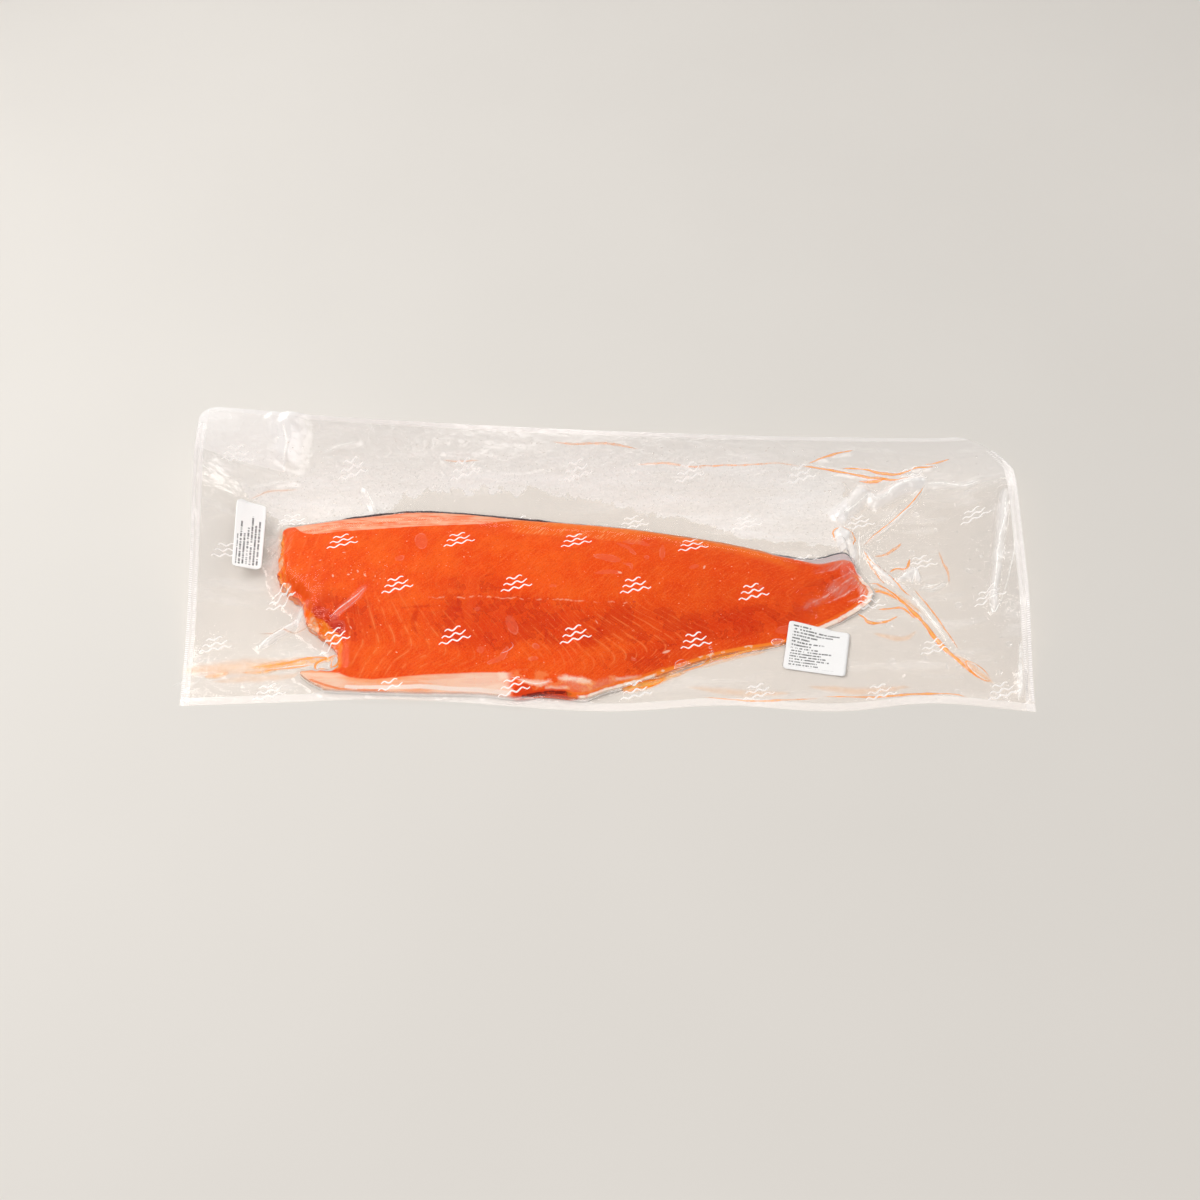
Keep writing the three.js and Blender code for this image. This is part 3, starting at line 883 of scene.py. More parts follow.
meat.lay(meat.ramp(to_line, 0.03, 0.24, 1.0, 0.0) * broken * 0.34, (255, 128, 60))
meat.lay(meat.ramp(to_line, 0.012, 0.06, 1.0, 0.0) * broken * 0.42, (255, 150, 88))
print("nodes with the flakes:", len(meat.tree.nodes))

# %% Fat along the back, sinew at the tail, and dry spots
shoulder = meat.zone("shoulder", 3.0, 0.4)
meat.lay(shoulder * 0.5, (255, 112, 20))
meat.lay(shoulder * meat.ramp(meat.hair, 0.52, 0.62) * 0.6, (255, 168, 104))
fat = meat.mix(meat.ramp(meat.streak, 0.3, 0.68), (255, 120, 64), (255, 192, 156))
fat = meat.mix(meat.ramp(meat.lump, 0.46, 0.66) * 0.35, fat, (255, 206, 176))
meat.lay(meat.zone("fat", 1.2, 0.16) * 0.92, fat)
rim = meat.ramp(meat.painted("rim") + meat.fray * 0.8, -8, 6)
meat.lay(rim * 0.9, (255, 126, 26))
meat.lay(rim * meat.ramp(meat.hair, 0.5, 0.64) * 0.35, (255, 168, 96))
sinew = meat.ramp(meat.hair, 0.42, 0.6, 0.3, 0.85) * meat.ramp(meat.lump, 0.36, 0.56, 0.5, 1.0)
meat.lay(meat.zone("sinew", 5.0) * sinew, (222, 136, 120))
frost = meat.zone("frost", 5.0) * meat.ramp(meat.hair, 0.48, 0.6)
frost = frost * meat.ramp(meat.fleck, 0.35, 0.55, 0.4, 1.0)
frost = frost.higher(meat.zone("frost_line", 1.6, 0.35) * meat.ramp(meat.fleck, 0.38, 0.6, 0.25, 0.75))
meat.lay(frost * 0.8, (255, 226, 212))
# Painted shade along the cleft lines in the meat.
clefts = meat.zone("clefts", 2.2, 0.4) * meat.ramp(meat.lump, 0.4, 0.54, 0.4, 1.0)
meat.lay(clefts * 0.5, (206, 36, 0))
meat.lay(meat.zone("dry", 0.8, 0.4) * 0.34, (244, 114, 84))
dry_rim = meat.band(meat.painted("dry") + meat.fray * 0.4, -0.3, 0.8, 0.4) * meat.ramp(meat.lump, 0.46, 0.6)
meat.lay(dry_rim * 0.3, (255, 160, 130))
print("nodes with fat and sinew:", len(meat.tree.nodes))

# %% Torn cut end
torn_red = meat.mix(meat.ramp(meat.fleck, 0.42, 0.6), (206, 44, 14), (236, 84, 44))
meat.lay(meat.zone("torn", 1.6, 0.8) * 0.8, torn_red)
facet = meat.painted("facets") + (meat.fleck - 0.5) * 1.6
facet_tone = meat.mix(meat.ramp(facet + meat.fray * 0.4, 0.6, 2.6), (222, 84, 56), (202, 52, 26))
meat.lay(meat.ramp(facet, -0.2, 0.2) * 0.9, facet_tone)
meat.lay(meat.zone("flecks", 0.5, 0.1) * 0.85, (255, 196, 168))
meat.lay(meat.zone("collar_hatch", 5.0, 0.5) * meat.ramp(meat.hair, 0.52, 0.6) * 0.5, (255, 166, 118))
cut = meat.mix(meat.ramp(meat.lump, 0.42, 0.6), (255, 112, 8), (255, 142, 36))
cut = meat.mix(meat.ramp(meat.fleck, 0.54, 0.64) * 0.4, cut, (255, 204, 160))
meat.lay(meat.zone("collar_rim", 1.2, 0.5), cut)
chunk = meat.mix(meat.ramp(meat.fleck, 0.4, 0.6), (255, 170, 110), (252, 222, 196))
meat.lay(meat.zone("chunks", 1.6, 0.5) * 0.8, chunk)
print("nodes with the cut end:", len(meat.tree.nodes))

# %% [markdown]
# The belly flap is lined with a smooth, almost white skin, which is thin enough at its edge to let
# the meat shine through. It is mixed by itself first, as one tone of many, and laid on in one coat.
# The small hole that the knife left in the flap gets fat and painted highlights round it, and a dark slit
# inside that is partly painted shade.

# %% Lining of the belly
lining = meat.mix(meat.ramp(meat.streak, 0.4, 0.64), (254, 198, 164), (250, 176, 138))
for mask, tone in (
    (meat.ramp(meat.lump, 0.54, 0.7) * 0.5, (255, 154, 90)),
    (meat.ramp(meat.cloud, 0.5, 0.64) * 0.45, (248, 206, 184)),
    (meat.ramp(meat.x, -0.15, -0.09) * 0.6, (250, 218, 200)),
):
    lining = meat.mix(mask, lining, tone)
into_lining = meat.painted("lining") + meat.fray * 0.2
warm = meat.ramp(into_lining, 0.5, 5.5, 0.6, 0.0) * meat.ramp(meat.x, -0.17, -0.12, 1.0, 0.1)
lining = meat.mix(warm, lining, (255, 150, 78))
flap_tip = meat.ramp(meat.x, -0.205, -0.19, 1.0, 0.0) * meat.ramp(meat.streak, 0.4, 0.58)
lining = meat.mix(flap_tip * 0.6, lining, (255, 228, 204))
meat.lay(meat.ramp(into_lining, -0.8, 1.0), lining)
meat.lay(meat.zone("white_line", 1.2, 0.12) * 0.85, (255, 236, 224))
meat.lay(meat.zone("orange_line", 0.6, 0.14) * 0.75, (244, 122, 46))
meat.lay(meat.zone("patchy", 3.0) * meat.ramp(meat.lump, 0.44, 0.56) * 0.6, (255, 146, 84))
print("nodes with the lining:", len(meat.tree.nodes))

# %% Hole in the belly, and the two long edges
clear_fat = meat.mix(meat.ramp(meat.lump, 0.42, 0.58), (240, 138, 102), (255, 172, 114))
in_clear_fat = meat.zone("clear_fat", 5.0, 0.9) * meat.ramp(meat.fleck, 0.35, 0.6, 0.6, 1.0)
meat.lay(in_clear_fat * 0.9, clear_fat)
# Pale fat, and bright painted highlights of the wet meat round the hole.
meat.lay(meat.zone("cream", 4.0, 0.9) * 0.85, (255, 222, 200))
meat.lay(meat.zone("hole", 1.5, 0.6) * 0.9, (228, 62, 8))
# Dark red in the slit: clotted blood, and painted shade in the crevice.
meat.lay(meat.zone("slit", 0.8, 0.35) * meat.ramp(meat.fleck, 0.36, 0.5, 0.4, 1.0) * 0.9, (116, 16, 0))
beside_rim = meat.band(meat.painted("white_rim") + meat.fray * 0.3, -2.8, 0.0, 0.8)
meat.lay(beside_rim * 0.5, (254, 134, 36))
meat.lay(meat.zone("orange_rim", 1.2, 0.3) * 0.85, (255, 148, 44))
meat.lay(meat.zone("orange_rim", 1.0, 0.2) * meat.ramp(meat.lump, 0.56, 0.62) * 0.8, (255, 222, 196))
meat.lay(meat.zone("white_rim", 1.0, 0.3) * meat.ramp(meat.lump, 0.3, 0.5, 0.5, 1.0), (255, 234, 218))
silver = meat.painted("silver") + meat.fray * 0.25
meat.lay(meat.ramp(silver, -4, 0.5) * 0.45, (240, 150, 112))
meat.lay(meat.ramp(silver, -0.5, 1.5) * 0.85, (204, 204, 207))
print("nodes with the edges:", len(meat.tree.nodes))

# %% Bone line, specks, and the finish of the meat
dash = meat.noise(meat.stretched(150, 60, 60), 5)
meat.lay(meat.zone("bone_line", 0.8, 0.3) * meat.ramp(dash, 0.48, 0.6) * 0.7, (255, 176, 140))
meat.lay(meat.zone("bone_line", 1.0, 0.3) * meat.ramp(dash, 0.36, 0.32) * 0.6, (176, 40, 60))
specks = meat.ramp(meat.fleck, 0.66, 0.71) * meat.ramp(meat.grain(34, 2), 0.46, 0.6)
meat.lay(specks * 0.6, (255, 170, 118))
relief = meat.fleck * 0.35 + fibre * (0.2 + shown * 0.4) + meat.tiny * 0.2 + meat.slant * 0.2
raw_salmon = meat.surface({
    "Base Color": meat.colour, "Roughness": meat.ramp(meat.fleck, 0.3, 0.7, 0.36, 0.55), "IOR": 1.2,
    "Normal": meat.bump(relief, 0.35, 0.6), "Subsurface Weight": 0.06,
    "Subsurface Radius": (1.0, 0.25, 0.08), "Subsurface Scale": 2 * MM,
})
add_piece("salmon_flesh", points, faces, raw_salmon, margins)

# %% [markdown]
# ## The skin
# The skin lies under the fillet and comes up round its back, where it shows as a thin dark line.
# It is a shell that hangs from the outline: a lip, a wall and one large under face. A Solidify
# modifier then gives it its real thickness. Skin is dark blue-grey with spots along the back, and
# silver to white towards the belly.

# %% Skin shell
WALL_STEPS = 6
UNDER_SKIN = 0.35
out_x, out_y = outline.T
lip_share = share_across(out_x, out_y) * (1 - in_collar(out_x, out_y))
on_back = smoothstep(lip_share, 0.6, 0.95)
dark_lip = smoothstep(out_x, -236, -200) * (1 - smoothstep(out_x, -60, -10))
dark_lip = dark_lip + 0.7 * smoothstep(out_x, 126, 142)
at_cut = in_collar(out_x, out_y)
on_belly = 1 - smoothstep(lip_share, 0.2, 0.4)
juicy_back = on_back * smoothstep(out_x, -30, 20) * (1 - smoothstep(out_x, 122, 138))
juicy = np.maximum(juicy_back, on_belly * smoothstep(out_x, 6, 26) * (1 - smoothstep(out_x, 150, 176)))
opened = on_belly * smoothstep(out_x, -72, -66) * (1 - smoothstep(out_x, -30, -22))
uneven_lip = 0.03 * hills(out_x, out_y, 9, 61)
lip_height = 0.55 + on_back * (0.16 + dark_lip * (0.4 + uneven_lip)) + 0.3 * juicy_back - 0.3 * at_cut
wing = 0.35 + on_back * (0.3 + 0.45 * dark_lip) - 0.9 * at_cut
skin_points, skin_faces = [], []
for k in range(WALL_STEPS + 1):
    share = k / WALL_STEPS
    out = wing * (1 - 0.55 * share) + 0.6 * math.sin(math.pi * share) * (1 - at_cut)
    height = UNDER_SKIN + (top_z[:ring] * lip_height - UNDER_SKIN) * (1 - share) ** 1.15
    skin_points.append(np.column_stack([outline - inward * out[:, None], height]))
    if k:
        skin_faces += ring_faces((k - 1) * ring + np.arange(ring), k * ring + np.arange(ring))
skin_faces.append((WALL_STEPS * ring + np.arange(ring)).tolist())
print("skin stands out up to", round(float(wing.max()), 1), "mm")

# %% Skin finish
SHELL_THICKNESS = 0.35


def skin_material():
    board = Board("salmon_skin")
    back = board.painted("back")
    scales = board.node("ShaderNodeTexVoronoi", None, {"Vector": board.stretched(0.8, 1, 1), "Scale": 560})
    colour = board.mix(board.ramp(back, 0.15, 0.55), (236, 226, 218), (160, 168, 172))
    colour = board.mix(board.ramp(back, 0.6, 0.95), colour, (66, 76, 88))
    spots = board.node("ShaderNodeTexVoronoi", None, {"Vector": board.place(), "Scale": 75})
    dark = board.ramp(spots, 0.12, 0.2, 1.0, 0.0) * board.ramp(back, 0.4, 0.6)
    dark = dark * board.ramp(board.grain(22, 2), 0.5, 0.56)
    for mask, tone in (
        (dark * 0.85, (22, 25, 30)), (board.ramp(scales, 0.2, 0.6) * 0.16, (232, 236, 238)),
        (board.painted("juicy") * 0.85, (250, 168, 84)), (board.painted("opened"), (234, 88, 18)),
        (board.painted("cut_end"), (250, 140, 56)),
    ):
        colour = board.mix(mask, colour, tone)
    return board.surface({
        "Base Color": colour, "Roughness": board.ramp(scales, 0.1, 0.6, 0.25, 0.45),
        "Metallic": board.ramp(back, 0.1, 0.6, 0.05, 0.3), "Normal": board.bump(scales, 0.25, 0.5),
    })


skin_values = {"back": lip_share, "juicy": juicy, "opened": opened, "cut_end": at_cut}
skin_values = {name: np.tile(value, WALL_STEPS + 1) for name, value in skin_values.items()}
skin = add_piece("salmon_skin", np.concatenate(skin_points), skin_faces, skin_material(), skin_values)
thickener = skin.modifiers.new("thickness", "SOLIDIFY")
thickener.thickness = SHELL_THICKNESS * MM
thickener.offset = 0

# %% [markdown]
# ## The film
# Two sheets of film hold the fillet. The upper one is pulled tight over the meat, comes down beside
# it like a tent, and gathers in folds where it has more width than it needs, most of all round the
# narrow tail. The folds are ridges with a path, a height and a width, and the tallest one wins.
# Small random ones are added along the fillet's edge, where a tight film always puckers.

# %% Folds of the film
# Paths that a fold shares with its white crest, partly a painted highlight, or with the juice
# that runs along it.
TENT_FOLD = [(-232, -43), (-249, -59), (-266, -76)]
BACK_FOLD = [(160, 105), (183, 102), (210, 97), (234, 95), (253, 93)]
SHORT_FOLD = [(165, 106), (183, 113), (205, 118)]
CORNER_NICKS = [(-328, -112), (-314, -104)], [(-318, -116), (-306, -104)]
# The folds: path, height, half width, and how round the crest is.
FILM_FOLDS = [
    (TENT_FOLD, 4.5, 5.5, 0.1),
    ([(-211, -60), (-204, -51), (-197, -44), (-186, -31)], 2.0, 4.5, 0.12),
    ([(186, 46), (196, 37)], 7, 8, 0.7),
    ([(188, 40), (191, 22), (190, 4), (187, -8)], 6, 5, 0.25),
    ([(196, 36), (198, 18), (194, 2), (192, -10)], 5, 4.5, 0.2),
    ([(186, 58), (199, 70), (214, 86)], 7, 10, 0.35),
    ([(212, 84), (219, 75), (230, 80), (246, 90), (262, 93)], 6, 9, 0.3),
    ([(204, 28), (226, 47), (249, 72), (261, 91)], 2.4, 3.4, 0.12),
    ([(203, 34), (222, 52), (244, 77)], 1.3, 3, 0.12),
    ([(261, 91), (277, 90), (293, 86), (307, 89)], 2.6, 5, 0.15),
    ([(205, 26), (215, 4), (228, -12), (238, -17)], 3.6, 4.5, 0.15),
    ([(208, 24), (219, 4), (231, -9)], 1.9, 2.6, 0.1),
    ([(236, -5), (245, 3)], 7, 7, 0.1),
    ([(245, 3), (247, -10)], 5.5, 3.5, 0.1),
    ([(230, -8), (240, -2)], 4, 4, 0.1),
    ([(247, -14), (256, -18), (268, -10)], 2.4, 3.4, 0.4),
    ([(238, -18), (247, -34), (258, -56), (266, -76)], 1.9, 3, 0.12),
    ([(232, -26), (249, -56), (262, -80), (284, -104)], 1.6, 3, 0.12),
    ([(270, -84), (280, -98)], 1.6, 4.5, 0.6),
    ([(322, 72), (312, 22), (306, -5)], 4.0, 6, 0.3),
    ([(308, 0), (300, -30), (300, -46)], 4.5, 5, 0.3),
    ([(313, 25), (306, -5), (299, -34)], 2, 2.6, 0.12),
    ([(313, -98), (311, -123)], 3.0, 6, 0.15),
    ([(-262, 131), (-258, 118), (-262, 100)], 5, 16, 0.06),
    ([(-276, 131), (-270, 116)], 2.5, 8, 0.2),
    (BACK_FOLD, 1.2, 3.5, 0.15),
    ([(192, 104), (225, 100), (239, 99), (254, 104), (273, 107)], 1.6, 3.5, 0.15),
    (SHORT_FOLD, 1.2, 3.5, 0.15),
    ([(-199, 84), (-189, 67)], 1.8, 3.0, 0.3),
    ([(-286, 76), (-267, 85), (-251, 89)], 1.2, 3, 0.15),
    ([(-232, 107), (-219, 111), (-203, 115)], 1.0, 3, 0.15),
    (CORNER_NICKS[0], 0.9, 2.4, 0.1),
    (CORNER_NICKS[1], 0.9, 2.4, 0.1),
]


def fold_height(x, y):
    """Height of the tallest fold at each point."""
    tallest = np.zeros(np.shape(x))
    for k, (path, height, width, crest) in enumerate(FILM_FOLDS):
        distance, along = distance_to_line(x, y, path)
        ends = smoothstep(along, -0.15, 0.2) * (1 - smoothstep(along, 0.8, 1.15))
        size = ends * (1 + 0.3 * hills(x, y, 22, 50 + k))
        blunt, full = np.sqrt((distance / width) ** 2 + crest**2), math.sqrt(1 + crest**2)
        ridge = np.clip((full - blunt) / (full - crest), 0, 1)
        tallest = np.maximum(tallest, height * size * ridge)
    return tallest


print("folds:", len(FILM_FOLDS), "tallest:", max(fold[1] for fold in FILM_FOLDS), "mm")


# %% Shape of the upper film
FILM_GAP = 0.5
# How far from the fillet the film comes down: at least, and for each millimetre of meat.
TENT_WIDTH, TENT_PER_HEIGHT = 3.2, 0.55
# Where the creases round the tail meet.
GATHER = (200, 5)
EDGE_WIDTH = 14


def puckers(number):
    """How far the film stands off beside each outline point, uneven as a gathered edge."""
    place = number * OUTLINE_STEP
    return 1 + 0.35 * hills(place, 0 * place, 7, 41) + 0.2 * hills(place, 0 * place, 3, 42)


def wrinkles(x, y):
    """Fine creases in the free film: long ones in the curl, and spokes round the tail."""
    from_x, from_y = x - GATHER[0], y - GATHER[1]
    angle, far = np.degrees(np.arctan2(from_y, from_x)), np.hypot(from_x, from_y)
    spokes = (1 - np.abs(hills(angle * 0.9, far * 0.1, 5, 45))) ** 5
    long_ones = (1 - np.abs(hills(x * 0.2, y + 0.08 * x, 8, 46))) ** 5
    small = (1 - np.abs(hills(x * 0.8, y + 0.3 * x, 7, 47))) ** 6
    spokes = 1.3 * spokes * hill(far - 6, 70) * smoothstep(far, 4, 14)
    return spokes + 0.7 * long_ones * smoothstep(np.abs(y - 10), 50, 90) + 0.3 * small


def film_rise(x, y):
    """Height of the upper film over the lower one, and how deep in the fillet each point lies."""
    depth, number = nearest_on_outline(x, y)
    inside = np.maximum(depth, 0)
    over_meat = smooth_flesh(x, y, inside) + np.maximum(flesh_relief(x, y, inside), -0.6) + FILM_GAP
    thickness = flesh_thickness(x, y)
    tent = (TENT_WIDTH + TENT_PER_HEIGHT * thickness) * puckers(number)
    share = np.clip(1 + (depth + 1.1) / tent, 0, 1)
    beside = (SKIN_THICKNESS + thickness * (1 - SHOULDER_DROP) + FILM_GAP) * share**2
    loose = 0.45 + 0.3 * hills(x, y, 26, 43) + wrinkles(x, y)
    at_edge = np.minimum(side_edge(y) - np.abs(x), np.minimum(y - front_edge(x), back_edge(x) - y))
    loose = loose * smoothstep(at_edge, 0, EDGE_WIDTH)
    folds = fold_height(x, y)
    rise = np.where(depth >= 0, over_meat + folds, np.maximum(beside, loose + folds))
    return np.maximum(rise, 0.25), depth, folds


FILM_COLUMNS = np.concatenate([np.linspace(0, 0.76, 300), np.linspace(0.76, 1, 191)[1:]])
FILM_ROWS = np.linspace(0, 1, 204)
film_x, film_y = bag_grid(FILM_COLUMNS, FILM_ROWS)
rise, film_depth, folds = film_rise(film_x, film_y)
film_z = lift(film_x, film_y) + rise
film_points = np.stack([film_x.ravel(), film_y.ravel(), film_z.ravel()], axis=1)
print("film stands", round(float(rise.max()), 1), "mm over the lower one at most")

# %% [markdown]
# Clear film is a mix of nothing and three thin things: a mirror, which is weak face on and strong
# along the sheet; fog on its inside; and scuff marks. White is also painted on the folds, partly as
# hazier film that stands off the meat and partly as a painted highlight, and on the curled back
# corner as a painted reflection. Most light goes straight through. The mirror and the fog share one
# shader: its Metallic socket says how much of it is mirror. A true glass shader would darken the meat
# and take many more samples for the same look. As on the flesh, the mesh carries margins: millimetres
# from the hem, from the sides, from the back and into the fog.

# %% Fog and edges of the film
fog_low = curve_through([(-292, 70), (-276, 58), (-258, 50), (-205, 52), (-180, 66), (-165, 78),
                         (-120, 84), (-84, 83), (-51, 82), (-17, 79), (4, 74), (30, 67), (60, 60),
                         (92, 48), (124, 35), (190, 30)])
fog_high = curve_through([(-292, 74), (-259, 88), (-227, 97), (-170, 99), (-112, 101), (-71, 104),
                          (-6, 106), (77, 105), (143, 102), (188, 94), (200, 80)])
CLEAR_PATCHES = [((-140, 76), (22, 7), 8), ((-92, 78), (14, 6), -20), ((-60, 80), (9, 8), 0)]
FOG_ENDS = (-294, 196)
# Corner of the curled back-left film that gets a whitish painted reflection: x below the first number, y
# above the second.
CURL_SHEEN_CORNER = (-263, 94)
EDGE_REACH = 40


def fog_margin(x, y):
    """How far inside the fogged zone behind the fillet a point lies."""
    margin = np.minimum(y - fog_low(x), np.minimum(x - FOG_ENDS[0], FOG_ENDS[1] - x))
    clear = widest(oval_margin(x, y, *patch) for patch in CLEAR_PATCHES)
    return np.clip(np.minimum(margin, -clear), -MARGIN_LIMIT, MARGIN_LIMIT)


def film_margins(x, y, depth, folds):
    """The margins of the film's zones at each point, and how high its fold is there."""
    curl = np.minimum(CURL_SHEEN_CORNER[0] - x, y - CURL_SHEEN_CORNER[1])
    zones = {"meat": depth, "curl": curl, "behind": y - fog_high(x)}
    edges = {"hem": y - front_edge(x), "rear": back_edge(x) - y, "side": side_edge(y) - np.abs(x)}
    values = {name: np.clip(margin, -MARGIN_LIMIT, MARGIN_LIMIT) for name, margin in zones.items()}
    values.update({name: np.clip(margin, 0, EDGE_REACH) for name, margin in edges.items()})
    return {**values, "fog": fog_margin(x, y), "fold": folds}


film_values = film_margins(film_x, film_y, film_depth, folds)
print("share of the film's points in the fog:", round(float((film_values["fog"] > 0).mean()), 2))

# %% Film finish
sheet = Board("clear_film")
mist, lump, spot = sheet.grain(1.4, 3, 0.65), sheet.grain(13, 4, 0.6), sheet.grain(3.2, 2, 0.6)
streak = sheet.noise(sheet.stretched(14, 70, 70), 5)
fold = sheet.painted("fold")
off_meat = sheet.ramp(sheet.painted("meat"), -2, 1, 1.0, 0.0)
into_fog = sheet.painted("fog") + (lump - 0.5) * 24 + (spot - 0.5) * 6
fog = sheet.ramp(into_fog, -1.0, 1.0) * sheet.ramp(mist, 0.3, 0.7, 0.84, 1.0)
fog = fog * sheet.ramp(spot, 0.32, 0.42, 0.66, 1.0) * sheet.ramp(streak, 0.36, 0.6, 0.72, 1.0) * 0.56
fog = fog + sheet.band(into_fog, -0.8, 1.8, 0.6) * sheet.ramp(mist, 0.5, 0.6) * 0.15
behind = sheet.ramp(sheet.painted("behind"), -8, 14)
# Scuff marks, and white on the folds: partly hazier film lifted off the meat, partly a painted highlight
# along the fold crests.
scuffs_and_fold_sheen = sheet.ramp(streak, 0.5, 0.74) * 0.14 + sheet.ramp(fold, 0.6, 4.0) * 0.45
# The curled back-left corner gets a whitish haze: a painted reflection of the light on the curved film.
haze = fog * (1 - behind) + behind * 0.24 + scuffs_and_fold_sheen + sheet.ramp(sheet.painted("curl"), -0.4, 0.4) * 0.25
for edge, width, soft, white in (("hem", 7.5, 1.0, 0.3), ("rear", 3.2, 0.8, 0.3), ("side", 7.0, 0.8, 0.25)):
    haze = haze + sheet.band(sheet.painted(edge), -1, width, soft) * white
# A little more painted highlight on the folds, over the meat as well.
haze = (haze + 0.08) * off_meat + sheet.ramp(fold, 0.3, 1.4) * 0.07 + 0.004
mirror = sheet.mirror() * (off_meat * 0.85 + 0.15)
solid = (haze + mirror).lower(0.92)
wrinkle = sheet.noise(sheet.stretched(90, 130, 130), 4)
crease = sheet.ramp((wrinkle - 0.5).away(), 0.0, 0.05, 1.0, 0.0)
relief = (wrinkle + crease * 0.3 + mist * 0.1) * (off_meat * 0.8 + 0.2)
clear_film = sheet.surface(
    {
        "Base Color": paint(248, 244, 241), "Metallic": (mirror / solid).lower(1.0),
        "Roughness": sheet.ramp(mist, 0.3, 0.7, 0.04, 0.1), "IOR": 1.3,
        "Normal": sheet.bump(relief, 0.5, 0.6),
    },
    see_through=1 - solid, clear=(0.945, 0.935, 0.93, 1),
)
print("nodes of the film:", len(sheet.tree.nodes))

# %% Upper film
# Film hardly dims the light that falls through it, so it is told to cast no shadow.
add_piece("film_upper", film_points, grid_faces(len(FILM_COLUMNS), len(FILM_ROWS)), clear_film,
          film_values, shadow=False)

# %% [markdown]
# The lower sheet lies flat under the fillet and follows the same curl. It needs fewer points, and
# no fog of its own.

# %% Lower film
FILM_THICKNESS = 0.12
UNDER_COLUMNS, UNDER_ROWS = np.linspace(0, 1, 222), np.linspace(0, 1, 91)
under_x, under_y = bag_grid(UNDER_COLUMNS, UNDER_ROWS)
under_z = lift(under_x, under_y) + FILM_THICKNESS
under_points = np.stack([under_x.ravel(), under_y.ravel(), under_z.ravel()], axis=1)
under_depth, _ = nearest_on_outline(under_x, under_y)
under_values = film_margins(under_x, under_y, under_depth, 0 * under_x)
under_values["fog"] = under_values["behind"] = 0 * under_x - MARGIN_LIMIT
add_piece("film_lower", under_points, grid_faces(len(UNDER_COLUMNS), len(UNDER_ROWS)), clear_film,
          under_values, shadow=False)

# %% [markdown]
# ## Seals
# The two short ends of the bag are closed by heat: two whitish bands with fine ribs, and a saw
# edge where the bag was cut from its roll. Each is a narrow strip that rides on the film, and its
# outer line goes in and out like teeth. Seals, juice, creases and print all lie on the film, so one
# helper takes flat strips and lifts them onto it.

# %% Strips that ride on the film
def on_film(x, y, above=0.0):
    """Points on the upper film, or a little above it."""
    x, y = np.asarray(x, float), np.asarray(y, float)
    return np.stack([x, y, lift(x, y) + film_rise(x, y)[0] + above], axis=-1)


def lay_on_film(strips, above):
    """Points and faces of strips, each a grid of flat places, laid just above the film."""
    faces, count = [], 0
    for strip in strips:
        faces += grid_faces(strip.shape[1], len(strip), count)
        count += strip.shape[0] * strip.shape[1]
    flat = np.concatenate([strip.reshape(-1, 2) for strip in strips])
    return on_film(*flat.T, above), faces


print("film in the middle of the fillet:", round(float(on_film(0, 0)[2]), 1), "mm up")


# %% Seals
# Lines along a seal by their distance from the bag's end; the first one is the saw edge.
SEAL_LINES = (-0.35, 0.5, 1.0, 2.4, 2.8, 3.6, 4.0, 6.0, 6.4)
SEAL_REACH = (-126, 118)
TOOTH, TOOTH_DEPTH = 0.9, 0.55
RIB, RIB_ZERO = 1.8, 200


def seal_material():
    board = Board("heat_seal")
    across, along = board.painted("across"), board.painted("along")
    ribs = board.band((along * (1 / RIB)).part(), 0.15, 0.85, 0.3)
    bands = board.band(across, -1, 2.6, 0.3) + board.band(across, 3.8, 6.2, 0.4) * 0.7
    white = 0.06 + bands * (0.3 + ribs * 0.3) + board.ramp(board.grain(5, 3), 0.4, 0.7) * 0.1
    return board.surface(
        {
            "Base Color": paint(248, 244, 242), "Roughness": board.ramp(ribs, 0, 1, 0.2, 0.4),
            "Normal": board.bump(ribs + bands, 0.3, 0.7),
        },
        see_through=1 - white,
    )


seal_finish = seal_material()
for name, side in (("seal_left", -1), ("seal_right", 1)):
    y = np.arange(*SEAL_REACH, TOOTH)
    edge = bag_ends(y, np.maximum(back_edge(side * side_edge(y)) - y, 0))[(side + 1) // 2]
    held = y > front_edge(edge)[0]
    edge, y = edge[held, None], y[held, None]
    inset = np.tile(np.array(SEAL_LINES), (len(y), 1))
    teeth = TOOTH_DEPTH * (np.arange(len(y))[:, None] % 2) * (inset == SEAL_LINES[0])
    strip = np.stack([edge - side * (inset + teeth), y + 0 * inset], axis=-1)
    values = {"across": inset, "along": y + RIB_ZERO + 0 * inset}
    add_piece(name, *lay_on_film([strip], 0.18), seal_finish, values, shadow=False)

# %% [markdown]
# ## Drops, bubbles and specks
# Fog on the inside of a bag gathers into droplets, air stays behind as small flat bubbles, and the
# meat has specks of fat and water pressed flat by the film. They are tiny domes. Hundreds of them
# are joined in one mesh for each kind, which is lighter than hundreds of objects.

# %% Small domes
SIDES = 10
DOME_RINGS = ((1.0, 0.0), (0.8, 0.62), (0.42, 0.93))


